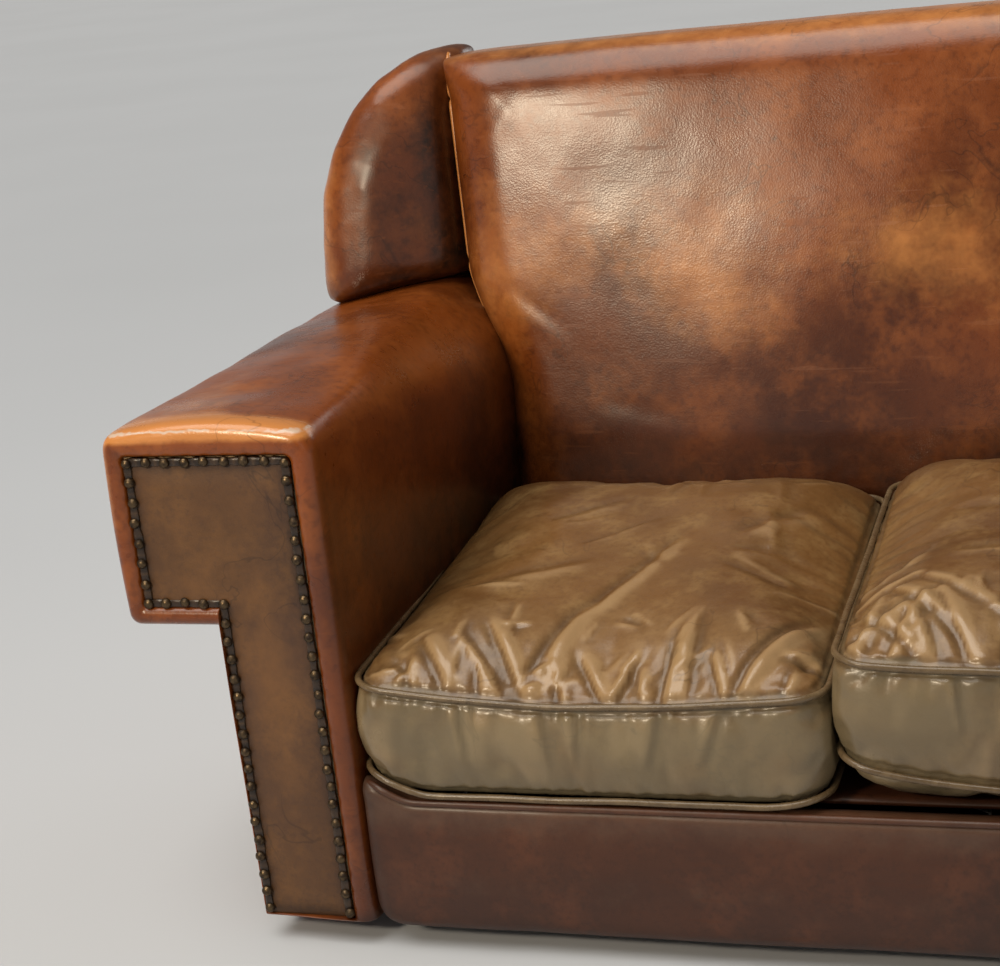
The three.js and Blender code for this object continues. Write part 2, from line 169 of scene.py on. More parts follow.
def bent_grid(points):
    """A grid bent into place: points is rows by columns by three, in millimetres."""
    rows, columns = points.shape[:2]
    skin = bmesh.new()
    bmesh.ops.create_grid(skin, x_segments=columns - 1, y_segments=rows - 1, size=1.0)
    for vertex, place in zip(skin.verts, points.reshape(-1, 3) * MM):
        vertex.co = place
    return skin


def close_ends(skin):
    """Fills a body's open ends with small triangles and turns its faces out."""
    edges = [edge for edge in skin.edges if edge.is_boundary]
    bmesh.ops.holes_fill(skin, edges=edges, sides=0)
    wide = [face for face in skin.faces if len(face.verts) > 6]
    bmesh.ops.triangulate(skin, faces=wide, quad_method="BEAUTY", ngon_method="BEAUTY")
    bmesh.ops.recalc_face_normals(skin, faces=skin.faces)


def closed_skin(points, name, weld=0.05):
    """A closed body from a grid of rings: its seams are welded, its ends filled, its faces turned out."""
    skin = bent_grid(points)
    bmesh.ops.remove_doubles(skin, verts=skin.verts, dist=weld * MM)
    close_ends(skin)
    return finished(skin, name)


def read(piece):
    """A piece's vertex places in millimetres and its vertex normals."""
    mesh = piece.data
    places = np.empty(len(mesh.vertices) * 3)
    normals = np.empty(len(mesh.vertices) * 3)
    mesh.vertices.foreach_get("co", places)
    mesh.vertices.foreach_get("normal", normals)
    return places.reshape(-1, 3) / MM, normals.reshape(-1, 3)


def put(piece, places):
    """Moves a piece's vertices to new places, in millimetres."""
    piece.data.vertices.foreach_set("co", (places * MM).ravel())
    piece.data.update()


def paint(piece, **masks):
    """Stores each mask, one number or a number for each vertex, as an attribute that the finishes read."""
    count = len(piece.data.vertices)
    for name, values in masks.items():
        layer = piece.data.attributes.new(name, "FLOAT", "POINT")
        layer.data.foreach_set("value", np.full(count, values, np.float32))


def apply_modifiers(piece):
    """Makes a piece's modifiers final."""
    bpy.context.view_layer.update()
    graph = bpy.context.evaluated_depsgraph_get()
    mesh = bpy.data.meshes.new_from_object(piece.evaluated_get(graph))
    piece.modifiers.clear()
    piece.data = mesh
    mesh.name = piece.name
    mesh.shade_smooth()


def remesh(piece, voxel, rounds=3):
    """Evens a body out into small square faces and softens it."""
    change = piece.modifiers.new("even", "REMESH")
    change.mode = "VOXEL"
    change.voxel_size = voxel * MM
    apply_modifiers(piece)
    skin = bmesh.new()
    skin.from_mesh(piece.data)
    for _ in range(rounds):
        bmesh.ops.smooth_vert(
            skin, verts=skin.verts, factor=0.5, use_axis_x=True, use_axis_y=True, use_axis_z=True
        )
    skin.to_mesh(piece.data)
    skin.free()
    piece.data.shade_smooth()


def subdivide(piece):
    """One even subdivision, the same in the view and the render."""
    change = piece.modifiers.new("round", "SUBSURF")
    change.levels = 1
    change.render_levels = 1


def tube(path, radius, name, closed):
    """A round cord of leather along a path in millimetres, as a grid bent round it."""
    path = np.array(path, float)
    if closed:
        tangents = np.roll(path, -1, axis=0) - np.roll(path, 1, axis=0)
    else:
        tangents = np.gradient(path, axis=0)
    tangents /= np.linalg.norm(tangents, axis=1)[:, None]
    across = np.cross(tangents, (0.0, 0.0, 1.0))
    steep = np.linalg.norm(across, axis=1) < 0.2
    across[steep] = np.cross(tangents[steep], (0.0, 1.0, 0.0))
    across /= np.linalg.norm(across, axis=1)[:, None]
    upward = np.cross(across, tangents)
    turn = np.linspace(0.0, 2.0 * math.pi, CORD_SIDES + 1)
    ring = across[:, None] * np.cos(turn)[:, None] + upward[:, None] * np.sin(turn)[:, None]
    points = path[:, None] + ring * radius
    if closed:
        points = np.concatenate([points, points[:1]])
    return closed_skin(points, name)


def joined(pieces, name):
    """Several bodies as one piece."""
    skin = bmesh.new()
    for piece in pieces:
        skin.from_mesh(piece.data)
        bpy.data.objects.remove(piece)
    return finished(skin, name)


def settle(piece, finish, replaces=()):
    """Gives a piece its finish and its place in the frame."""
    piece.data.materials.clear()
    piece.data.materials.append(finish)
    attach(piece, "root")
    if replaces:
        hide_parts(*replaces)


def side_name(side):
    """The sofa's own left and right, as seen from the front: -1 is left."""
    return "left" if side < 0 else "right"


# ---------------------------------------------------------------- finish helpers


def linear(red, green, blue):
    """A colour given as it looks on screen, 0 to 255, as the light values that shaders use."""
    shares = [channel / 255.0 for channel in (red, green, blue)]
    return tuple(s / 12.92 if s <= 0.04045 else ((s + 0.055) / 1.055) ** 2.4 for s in shares)


def feed(tree, socket, value):
    """Links an input socket to the output given as its value, or sets the value itself."""
    if isinstance(value, bpy.types.NodeSocket):
        tree.links.new(value, socket)
    elif socket.type == "RGBA":
        socket.default_value = (*value, 1.0)[:4]
    else:
        socket.default_value = value


def node(tree, kind, settings=(), **inputs):
    """Adds a node: settings are its properties, inputs its sockets' values or the sockets that feed them."""
    made = tree.nodes.new(kind)
    for name, value in dict(settings).items():
        setattr(made, name, value)
    for name, value in inputs.items():
        key = int(name[1:]) if name[0] == "_" else name.replace("_", " ")
        feed(tree, made.inputs[key], value)
    return made


def maths(tree, operation, *values, clamp=False):
    """A Math node's result."""
    inputs = {f"_{i}": value for i, value in enumerate(values)}
    return node(tree, "ShaderNodeMath", {"operation": operation, "use_clamp": clamp}, **inputs).outputs[0]


def ramp(tree, value, low, high, start=0.0, end=1.0):
    """The value mapped smoothly from low..high to start..end."""
    settings = {"interpolation_type": "SMOOTHSTEP"}
    inputs = {"Value": value, "From_Min": low, "From_Max": high, "To_Min": start, "To_Max": end}
    return node(tree, "ShaderNodeMapRange", settings, **inputs).outputs[0]


def blend(tree, share, first, second):
    """Two colours mixed."""
    made = node(tree, "ShaderNodeMix", {"data_type": "RGBA", "blend_type": "MIX", "clamp_factor": True})
    for index, value in ((0, share), (6, first), (7, second)):
        feed(tree, made.inputs[index], value)
    return made.outputs[2]


def noise(tree, vector, scale, detail=4.0, roughness=0.55, distortion=0.0):
    """A Noise Texture's factor."""
    inputs = {"Vector": vector, "Scale": scale, "Detail": detail, "Roughness": roughness}
    return node(tree, "ShaderNodeTexNoise", (), Distortion=distortion, **inputs).outputs[0]


def new_group(name, inputs, outputs):
    """An empty shader node group with named sockets, and its two end nodes."""
    tree = bpy.data.node_groups.new(name, "ShaderNodeTree")
    kinds = {"float": "NodeSocketFloat", "colour": "NodeSocketColor", "vector": "NodeSocketVector"}
    for title, kind in inputs:
        tree.interface.new_socket(title, in_out="INPUT", socket_type=kinds[kind])
    for title, kind in outputs:
        tree.interface.new_socket(title, in_out="OUTPUT", socket_type=kinds[kind])
    return tree, tree.nodes.new("NodeGroupInput").outputs, tree.nodes.new("NodeGroupOutput").inputs


def use(tree, name, **inputs):
    """Places a group in a tree with its own values, and returns its outputs."""
    made = tree.nodes.new("ShaderNodeGroup")
    made.node_tree = bpy.data.node_groups[name]
    for key, value in inputs.items():
        feed(tree, made.inputs[key], value)
    return made.outputs


def build_grain_group():
    """Leather grain: small pebbled cells with softer ripples between them."""
    tree, given, result = new_group(
        "leather_grain", [("Vector", "vector"), ("Scale", "float")], [("Height", "float")]
    )
    cells = node(tree, "ShaderNodeTexVoronoi", (), Vector=given["Vector"], Scale=given["Scale"])
    ripple = noise(tree, given["Vector"], maths(tree, "MULTIPLY", given["Scale"], 0.17), 2.0, 0.6)
    tree.links.new(maths(tree, "MULTIPLY_ADD", ripple, 1.3, cells.outputs[0]), result["Height"])


def build_patina_group():
    """Uneven colour of old waxed leather: big clouds, small mottling and rubbed patches."""
    sockets = [("Vector", "vector"), ("Dark", "colour"), ("Base", "colour"), ("Light", "colour")]
    tree, given, result = new_group(
        "leather_patina", [*sockets, ("Scale", "float")], [("Color", "colour"), ("Mottle", "float")]
    )
    scale = given["Scale"]
    clouds = noise(tree, given["Vector"], scale, 2.0, 0.6, 0.3)
    small = noise(tree, given["Vector"], maths(tree, "MULTIPLY", scale, 5.0), 4.0, 0.7)
    fine = noise(tree, given["Vector"], maths(tree, "MULTIPLY", scale, 40.0), 2.0, 0.7)
    dark = blend(tree, ramp(tree, clouds, 0.3, 0.62, 0.15, 1.0), given["Dark"], given["Base"])
    light = blend(tree, ramp(tree, small, 0.42, 0.8, 0.0, 0.6), dark, given["Light"])
    speck = blend(tree, ramp(tree, fine, 0.3, 0.5, 0.26, 0.0), light, given["Dark"])
    tree.links.new(speck, result["Color"])
    tree.links.new(maths(tree, "MULTIPLY", clouds, small), result["Mottle"])


def build_scratch_group():
    """Fine pale scratches."""
    tree, given, result = new_group(
        "scratches", [("Vector", "vector"), ("Scale", "float")], [("Scratch", "float")]
    )
    turned = node(tree, "ShaderNodeMapping", (), Vector=given["Vector"])
    turned.inputs["Rotation"].default_value = (0.4, 0.7, 1.1)
    turned.inputs["Scale"].default_value = (1.0, 13.0, 13.0)
    streak = noise(tree, turned.outputs[0], given["Scale"], 1.0, 0.5)
    tree.links.new(ramp(tree, streak, 0.66, 0.70), result["Scratch"])


def build_crackle_group():
    """The wandering shallow creases of dry leather, in patches."""
    tree, given, result = new_group(
        "crackle", [("Vector", "vector"), ("Scale", "float")], [("Crack", "float")]
    )
    vein = noise(tree, given["Vector"], given["Scale"], 3.0, 0.55, 0.6)
    line = ramp(tree, maths(tree, "ABSOLUTE", maths(tree, "SUBTRACT", vein, 0.5)), 0.012, 0.0)
    patches = noise(tree, given["Vector"], 5.0, 1.0)
    tree.links.new(maths(tree, "MULTIPLY", line, ramp(tree, patches, 0.48, 0.66)), result["Crack"])


def attribute(tree, name):
    """A vertex mask that a piece was painted with."""
    return node(tree, "ShaderNodeAttribute", {"attribute_name": name}).outputs["Fac"]


def new_material(name):
    """A new material, its tree, its shader and the piece's own coordinates."""
    made = bpy.data.materials.new(name)
    made.use_nodes = True
    tree = made.node_tree
    return made, tree, tree.nodes["Principled BSDF"], node(tree, "ShaderNodeTexCoord").outputs["Object"]


def raise_bumps(tree, shader, height, strength, distance):
    """Lets a height pattern raise the surface."""
    bump = node(tree, "ShaderNodeBump", (), Strength=strength, Distance=distance, Height=height)
    tree.links.new(bump.outputs[0], shader.inputs["Normal"])


def leather(name, tones, scale=2.2, grain=420.0, gloss=0.26, coat=0.2, creases=0.35, edge=None):
    """Old leather: tones are its dark, base and light colours, its rubbed colour, which also paints
    highlights, and its grime colour, which also paints shade; edge is its cracked crest's colour, also a
    painted highlight.
    """
    dark, base, light, rubbed_and_lit, shade_and_grime_tone = tones
    made, tree, shader, place = new_material(name)
    patina = use(tree, "leather_patina", Vector=place, Dark=dark, Base=base, Light=light, Scale=scale)
    broken = noise(tree, place, 26.0, 3.0, 0.7)
    # The rub mask lightens worn places and also paints highlights; the grime mask darkens dirty places and
    # also paints shade.
    rub_and_highlight_amount = maths(tree, "SUBTRACT", attribute(tree, "rub"), 0.4)
    rub = ramp(tree, maths(tree, "MULTIPLY_ADD", broken, 0.55, rub_and_highlight_amount), 0.0, 0.62)
    shade_and_dirt = ramp(tree, broken, 0.2, 0.7, 1.0, 0.62)
    grime = maths(tree, "MULTIPLY", attribute(tree, "grime"), shade_and_dirt, clamp=True)
    marks = use(tree, "scratches", Vector=place, Scale=9.0)
    cracks = use(tree, "crackle", Vector=place, Scale=11.0)
    colour = blend(tree, maths(tree, "MULTIPLY", rub, 0.75), patina["Color"], rubbed_and_lit)
    colour = blend(tree, grime, colour, shade_and_grime_tone)
    colour = blend(tree, maths(tree, "MULTIPLY", marks["Scratch"], 0.07), colour, light)
    colour = blend(tree, maths(tree, "MULTIPLY", cracks["Crack"], creases), colour, shade_and_grime_tone)
    # A pale cracked line along the arms' crest, partly worn leather and partly a painted highlight.
    if edge is not None:
        worn = attribute(tree, "crest")
        wobble = maths(tree, "MULTIPLY_ADD", noise(tree, place, 55.0, 2.0), 7.0, -3.5 - CREST_LINE)
        line = maths(tree, "ABSOLUTE", maths(tree, "ADD", worn, wobble))
        worn_and_lit_line = maths(tree, "MULTIPLY", ramp(tree, line, 1.7, 0.5), ramp(tree, broken, 0.35, 0.55))
        colour = blend(tree, worn_and_lit_line, colour, edge)
    tree.links.new(colour, shader.inputs["Base Color"])
    rough = maths(tree, "MULTIPLY_ADD", patina["Mottle"], 0.5, gloss - 0.1)
    rough = maths(tree, "ADD", rough, maths(tree, "MULTIPLY", grime, 0.16))
    rough = maths(tree, "SUBTRACT", rough, maths(tree, "MULTIPLY", rub, 0.05))
    rough = maths(tree, "ADD", rough, maths(tree, "MULTIPLY", marks["Scratch"], 0.1))
    tree.links.new(rough, shader.inputs["Roughness"])
    height = use(tree, "leather_grain", Vector=place, Scale=grain)["Height"]
    raise_bumps(tree, shader, height, 0.13, 0.0008)
    shader.inputs["Coat Weight"].default_value = coat
    shader.inputs["Coat Roughness"].default_value = 0.22
    shader.inputs["Specular IOR Level"].default_value = 0.4
    return made


def wood(name, light, dark):
    """Plain rails: long grain with darker pores."""
    made, tree, shader, place = new_material(name)
    run = node(tree, "ShaderNodeMapping", (), Vector=place)
    run.inputs["Scale"].default_value = (3.0, 22.0, 22.0)
    figure = noise(tree, run.outputs[0], 4.0, 6.0, 0.6, 1.6)
    pores = noise(tree, run.outputs[0], 40.0, 3.0, 0.7)
    colour = blend(tree, ramp(tree, figure, 0.35, 0.65), dark, light)
    colour = blend(tree, ramp(tree, pores, 0.42, 0.3), colour, dark)
    tree.links.new(colour, shader.inputs["Base Color"])
    tree.links.new(ramp(tree, figure, 0.2, 0.8, 0.45, 0.7), shader.inputs["Roughness"])
    raise_bumps(tree, shader, pores, 0.3, 0.0006)
    return made


def metal(name, bright, tarnish, roughness):
    """Old metal: bright in places, duller and rougher where it is tarnished."""
    made, tree, shader, place = new_material(name)
    patches = noise(tree, place, 130.0, 4.0, 0.6)
    share = ramp(tree, patches, 0.38, 0.66)
    tree.links.new(blend(tree, share, bright, tarnish), shader.inputs["Base Color"])
    tree.links.new(ramp(tree, patches, 0.3, 0.7, roughness, roughness + 0.28), shader.inputs["Roughness"])
    tree.links.new(ramp(tree, patches, 0.3, 0.75, 1.0, 0.7), shader.inputs["Metallic"])
    raise_bumps(tree, shader, patches, 0.25, 0.0004)
    return made


def woven(name, light, dark, pitch):
    """Plain cloth or webbing: threads over and under each other."""
    made, tree, shader, place = new_material(name)
    axes = node(tree, "ShaderNodeSeparateXYZ", (), Vector=place).outputs
    turns = 2.0 * math.pi / pitch
    threads = [maths(tree, "SINE", maths(tree, "MULTIPLY", axes[i], turns)) for i in range(3)]
    weave = maths(tree, "MULTIPLY", threads[0], maths(tree, "ADD", threads[1], threads[2]))
    soil = noise(tree, place, 9.0, 4.0)
    share = maths(tree, "MULTIPLY_ADD", weave, 0.25, soil, clamp=True)
    tree.links.new(blend(tree, share, dark, light), shader.inputs["Base Color"])
    tree.links.new(ramp(tree, soil, 0.3, 0.7, 0.95, 0.82), shader.inputs["Roughness"])
    raise_bumps(tree, shader, weave, 0.4, 0.0005)
    return made


def pale_surface(name, colour):
    """The studio floor: pale and almost even."""
    made, tree, shader, place = new_material(name)
    cloud = noise(tree, place, 0.6, 2.0)
    tone = blend(tree, ramp(tree, cloud, 0.3, 0.7), tuple(0.97 * c for c in colour), colour)
    tree.links.new(tone, shader.inputs["Base Color"])
    shader.inputs["Roughness"].default_value = 0.85
    return made


def finish(name):
    """A finish made by the operator that prepares them."""
    return bpy.data.materials[name]


# ---------------------------------------------------------------- settings


def a_length(name, description, default, low=0.0005, high=0.2):
    """A setting in metres."""
    return bpy.props.FloatProperty(
        name=name, description=description, default=default, min=low, max=high, unit="LENGTH", precision=4
    )


def a_strength(name, description, default):
    """A setting that multiplies an effect."""
    return bpy.props.FloatProperty(
        name=name, description=description, default=default, min=0.0, max=3.0, subtype="FACTOR"
    )


def a_colour(name, description, red, green, blue):
    """A colour setting, its default given as it looks on screen."""
    start = linear(red, green, blue)
    return bpy.props.FloatVectorProperty(
        name=name, description=description, default=start, subtype="COLOR", min=0.0, max=1.0
    )


class SofaSizes(bpy.types.PropertyGroup):
    """Sizes of the soft parts and trims that a user would change."""

    piping: a_length("Piping radius", "Radius of the cord in the cushion seams", 0.0042)
    welt: a_length("Welt radius", "Radius of the cord along the front rail and the back", 0.0045)
    nail: a_length("Nail radius", "Radius of a domed nail head", 0.0062)
    nail_pitch: a_length("Nail spacing", "Distance between neighbouring nails", 0.0225, 0.012, 0.06)
    crown: a_length("Cushion crown", "How far a cushion's middle stands above its seam", 0.052)
    lift: a_length("Middle cushion lift", "How far the middle cushion's edges stand over the others'", 0.040)
    creasing: a_strength("Creasing", "Strength of the folds in the seat cushions", 1.0)


class SofaColours(bpy.types.PropertyGroup):
    """Colours of the leathers, the nails and the wood."""

    cover_dark: a_colour("Cover, dark", "Dark clouds in the body leather", 66, 28, 9)
    cover: a_colour("Cover", "The body leather", 130, 64, 18)
    cover_light: a_colour("Cover, light", "Light mottling in the body leather", 166, 92, 34)
    # This tone also paints highlights on the arms' crest and outer edges and the ears' rims.
    cover_rubbed_and_lit: a_colour("Cover, rubbed", "Where the body leather is rubbed", 212, 142, 78)
    # This tone also paints shade on the arms' inner faces, the ears' faces and the inside back's lower part
    # and seams.
    cover_shade_and_grime: a_colour("Cover, grime", "Dirt in the body's seams and folds", 16, 6, 2)
    facing: a_colour("Facing", "The flat leather on the arm fronts", 88, 57, 28)
    facing_dark: a_colour("Facing, dark", "Dark streaks on the arm fronts", 64, 42, 32)
    rail: a_colour("Rail", "The leather on the front rail", 74, 38, 17)
    rail_dark: a_colour("Rail, dark", "Dark clouds on the front rail", 50, 25, 12)
    cushion: a_colour("Cushion", "The faded leather of the seat cushions", 114, 81, 44)
    cushion_dark: a_colour("Cushion, dark", "Dark mottling on the cushions", 86, 58, 31)
    cushion_light: a_colour("Cushion, light", "Rubbed places on the cushions", 150, 120, 76)
    boxing: a_colour("Boxing", "The greener leather round the cushions' sides", 112, 103, 80)
    piping: a_colour("Piping", "The cord in the cushion seams", 86, 68, 46)
    bronze: a_colour("Nails", "The tarnished nail heads", 96, 80, 60)
    beech: a_colour("Wood", "The frame's rails and boards", 196, 158, 108)


# ---------------------------------------------------------------- the pieces


def arm_corners(share_out, depth):
    """The L-shaped arm outline: share_out 0 is the edge of the facing, 1 the outside of the arm."""
    inner_top = 22.0 + 78.0 * float(smooth(depth, 0.0, 640.0))
    outside = [
        (ARM_IN, ARM_FOOT, 3, 3),
        (ARM_IN, ARM_TOP, inner_top, inner_top),
        (ARM_OUT, ARM_TOP, 15, 15),
        (ARM_OUT, OVERHANG, 13, 13),
        (POST_OUT, OVERHANG, 5, 5),
        (POST_OUT, ARM_FOOT, 3, 3),
    ]
    facing_edge = [
        (FACING_LOW[0], ARM_FOOT + 3, 1, 1),
        (FACING_LOW[0], FACING_HIGH[2] + 1, 9, 9),
        (FACING_HIGH[0], FACING_HIGH[2] + 1, 4, 4),
        (FACING_HIGH[0], FACING_UNDER, 4, 4),
        (POST_OUT - 3, FACING_UNDER, 1, 1),
        (POST_OUT - 3, ARM_FOOT + 3, 1, 1),
    ]
    return [
        tuple(np.array(near) * (1.0 - share_out) + np.array(far) * share_out)
        for near, far in zip(facing_edge, outside)
    ]


# Steps along each straight side of the arm's outline.
ARM_STEPS = [36, 16, 12, 7, 14, 6]
# The rolled front edge, from the facing round to the arm's outside: (share outwards, depth).
ARM_ROLL = [
    (0.0, 10), (0.0, 3), (0.05, -2), (0.2, -6), (0.42, -8),
    (0.64, -7), (0.82, -3), (0.93, 2), (0.99, 9), (1.0, 17),
]
ARM_DEPTHS = [26, 38, 54, 74, 98, *range(126, 800, 28), 812, 822]
# How far short of the outside back's plane the arm stops, and its last three rings before that.
ARM_REAR_GAP = 3.6
ARM_REAR_STEPS = (8.0, 2.5, 0.0)


def arm_crown(across, depth):
    """How far the arm's top stands above its corners: a hump at the front, tilting inwards behind."""
    hump = np.sin(math.pi * np.clip(across, 0.03, 0.97)) ** 0.75
    front = 16.0 - 7.0 * smooth(depth, 20.0, 160.0)
    tilt = depth / 660.0 * (14.0 * (1.0 - across) - 13.0 * across)
    return hump * front + tilt


def arm_cover(side):
    """One arm's leather, from the facing's edge over the front roll and back to the outside back."""
    rings = []
    for share_out, depth in ARM_ROLL + [(1.0, depth) for depth in ARM_DEPTHS]:
        ring = rounded(arm_corners(share_out, depth), ARM_STEPS)
        facing = rounded(arm_corners(0.0, depth), ARM_STEPS)
        outside = rounded(arm_corners(1.0, depth), ARM_STEPS)
        wide = np.clip(np.linalg.norm(outside - facing, axis=1) / 22.0, 0.0, 1.0)
        ahead = depth * wide if depth < 0 else np.full(len(ring), float(depth))
        rings.append(np.column_stack([ring[:, 0], FRONT + ahead, ring[:, 1]]))
    points = np.array(rings)
    x, depth, z = points[..., 0], points[..., 1] - FRONT, points[..., 2]
    across = np.clip((x - ARM_IN) / (ARM_OUT - ARM_IN), 0.0, 1.0)
    points[..., 2] = z + smooth(z, ARM_TOP - 20, ARM_TOP - 4) * arm_crown(across, depth)
    inner = 1.0 - smooth(x, ARM_IN + 4, ARM_IN + 90)
    full = np.sin(math.pi * np.clip((z - 170.0) / 440.0, 0.0, 1.0))
    points[..., 0] -= inner * full * (4.0 + 13.0 * smooth(depth, 120.0, 600.0)) * smooth(depth, 20, 90)
    outer = smooth(x, ARM_OUT - 30, ARM_OUT - 2)
    points[..., 0] += outer * 3.0 * np.sin(math.pi * np.clip((z - OVERHANG) / 222.0, 0.0, 1.0))
    margins = np.zeros(len(points))
    margins[-len(ARM_REAR_STEPS):] = ARM_REAR_STEPS
    points[..., 1] = np.minimum(points[..., 1], panel_plane(z) - ARM_REAR_GAP - margins[:, None])
    points[..., 0] *= side
    return closed_skin(points, side_name(side) + "_arm_leather")


def arm_wear(piece, side):
    """Softens an arm's skin and paints where it is rubbed and cracked, with painted highlights along its
    front crest and outer edge, painted shade over its inner face, in its rear corner and under and beside
    its facing, and a darkened mitre seam.
    """
    places, normals = read(piece)
    x, depth, z = np.abs(places[:, 0]), places[:, 1] - FRONT, places[:, 2]
    soft = smooth(depth, 10, 60) * (1.0 - smooth(depth, 720, 775))
    rough = 1.7 * lumps(places, 190.0, 11 + side) + 0.7 * lumps(places, 70.0, 21 + side)
    mitre = hill(x - ARM_OUT - (z - OVERHANG), 0.0, 3.0) * (x > 1025) * (z < 425) * (depth < 16)
    put(piece, places + normals * (rough * soft - 2.5 * mitre)[:, None])
    across = (x - ARM_IN) / (ARM_OUT - ARM_IN)
    top = smooth(z, ARM_TOP - 12, ARM_TOP + 4)
    # Lighter along the front crest, the upper outer edge and the top near the front: worn leather, and along
    # the crest and edge also a painted highlight.
    edge = top * hill(depth, 0.0, 26.0) + 0.55 * smooth(x, ARM_OUT - 16, ARM_OUT) * smooth(z, 430, 600)
    leaned_on = top * hill(across, 0.75, 0.35) * (1.0 - smooth(depth, 60, 420))
    rub = np.clip(1.05 * edge + 0.35 * leaned_on, 0, 1)
    # Painted shade: darker over the inner face and most low down towards the rear, in the rear corner by the
    # back, along the bottom and in the groove beside the facing; the mitre seam at the lower outer corner is
    # darkened too.
    inner = 1.0 - smooth(x, ARM_IN + 10, ARM_IN + 60)
    low = inner * (1.0 - smooth(z, 330.0, 560.0)) * smooth(depth, 60.0, 330.0)
    corner = hill(x, 848.0, 60.0) * smooth(depth, 560.0, 700.0) * 0.7
    tucked_shade = (z < 37) + (depth < 12) * (1.0 - smooth(np.abs(depth - 6), 0.0, 5.0)) * (z < ARM_TOP - 20)
    shade_and_dirt = 0.78 * low + 0.3 * inner * (z < ARM_TOP - 60) + corner + 0.5 * tucked_shade + 0.8 * mitre
    # A pale cracked line along the front crest: worn leather and a painted highlight.
    above = z - ARM_TOP - 1.0 - 0.4 * arm_crown(across, 0.0)
    crest = np.where((z > ARM_TOP - 18) & (depth < 30), CREST_LINE + above, 0.0)
    paint(piece, rub=rub, grime=np.clip(shade_and_dirt, 0, 1), crest=crest)
    subdivide(piece)


def facing_panel(side):
    """The flat, lightly padded L of leather on the front of an arm."""
    low, high = FACING_LOW, FACING_HIGH
    post = POST_OUT - 3
    columns = np.concatenate([np.linspace(low[0], post, 13), np.linspace(post, high[0], 11)[1:]])
    on_post = np.linspace(low[2] - 3.0, FACING_UNDER, 40)
    rows = np.concatenate([on_post, np.linspace(FACING_UNDER, high[2], 20)[1:]])
    wide, tall = np.meshgrid(columns, rows)
    points = np.stack([wide * side, np.full_like(wide, FRONT), tall], axis=-1)
    skin = bent_grid(points)
    cut = [
        face
        for face in skin.faces
        if abs(face.calc_center_median().x) > post * MM
        and face.calc_center_median().z < FACING_UNDER * MM
    ]
    bmesh.ops.delete(skin, geom=cut, context="FACES")
    border = [edge for edge in skin.edges if edge.is_boundary]
    out = bmesh.ops.extrude_edge_only(skin, edges=border)
    moved = [item for item in out["geom"] if isinstance(item, bmesh.types.BMVert)]
    bmesh.ops.translate(skin, verts=moved, vec=(0.0, 6.0 * MM, 0.0))
    close_ends(skin)
    piece = finished(skin, side_name(side) + "_facing_leather")
    places, _ = read(piece)
    x, z = np.abs(places[:, 0]), places[:, 2]
    outer = np.where(z > FACING_UNDER, high[0], post)
    gap = np.minimum.reduce([x - low[0], outer - x, high[2] - z, z - low[2]])
    swell = 3.4 * smooth(gap, 4.0, 34.0) + 0.7 * lumps(places, 60.0, 31 + side) * smooth(gap, 2.0, 20.0)
    front = places[:, 1] < FRONT + 1
    places[:, 1] -= swell * front
    put(piece, places)
    # Painted shade: darker along the border, where the facing meets the roll; also darker in a band about
    # 470 mm up.
    grime = np.clip(0.75 * (1.0 - smooth(gap, 5.0, 22.0)) + 0.2 * hill(z, 470.0, 60.0), 0, 1)
    paint(piece, rub=0.35 * hill(z, 330.0, 170.0) + 0.2 * smooth(gap, 20, 60), grime=grime)
    subdivide(piece)
    return piece


def nail_turns(side):
    """The turns in the line of nails: up, across, down, back in and down the post."""
    across_in, across_out = FACING_LOW[0] + 5.5, FACING_HIGH[0] - 5.0
    top, under, foot = FACING_HIGH[2] - 4.5, FACING_UNDER + 3.5, ARM_FOOT + 11.0
    post = POST_OUT - 7.5
    inner = [(across_in, foot), (across_in, top)]
    outer = [(across_out, top), (across_out, under), (post, under), (post, foot)]
    return [(x * side, z) for x, z in inner + outer]


def along_turns(turns, pitch, fewest):
    """Points at about a pitch along straight runs, with one at each turn."""
    places = []
    for (x0, z0), (x1, z1) in zip(turns, turns[1:]):
        count = max(fewest, round(math.hypot(x1 - x0, z1 - z0) / pitch))
        places.extend((x0 + (x1 - x0) * i / count, z0 + (z1 - z0) * i / count) for i in range(count))
    return np.array([*places, turns[-1]])


def nail_spots(side):
    """The place of each nail."""
    return along_turns(nail_turns(side), bpy.context.scene.sofa_sizes.nail_pitch / MM, 2)


def nails(side):
    """Domed nail heads in one piece, each a little off true."""
    draw = np.random.default_rng(70 + side)
    radius = bpy.context.scene.sofa_sizes.nail
    heads = bmesh.new()
    ahead = FRONT - 3.0
    for x, z in nail_spots(side):
        tilt = Matrix.Rotation(draw.normal(0.0, 0.09), 4, "X")
        tilt = tilt @ Matrix.Rotation(draw.normal(0.0, 0.09), 4, "Z")
        off = draw.normal(0.0, 0.8)
        place = Vector((x + off, ahead + draw.normal(0.0, 0.25), z + draw.normal(0.0, 0.8)))
        size = radius * draw.uniform(0.94, 1.05)
        shape = Matrix.Diagonal((size, size * 0.78, size, 1.0)) @ Matrix.Rotation(math.pi / 2.0, 4, "X")
        matrix = Matrix.Translation(place * MM) @ tilt @ shape
        bmesh.ops.create_uvsphere(heads, u_segments=14, v_segments=10, radius=1.0, matrix=matrix)
    everything = heads.verts[:] + heads.edges[:] + heads.faces[:]
    rear = (0.0, ahead * MM + 0.0018, 0.0)
    bmesh.ops.bisect_plane(heads, geom=everything, plane_co=rear, plane_no=(0, 1, 0), clear_outer=True)
    close_ends(heads)
    return finished(heads, side_name(side) + "_nails")


# The strip's section, as (share across, height).
STRIP_SECTION = [(-1.0, 0.6), (-0.8, 1.6), (-0.35, 2.0), (0.1, 2.1), (0.55, 1.9), (0.9, 1.4), (1.0, 0.6)]


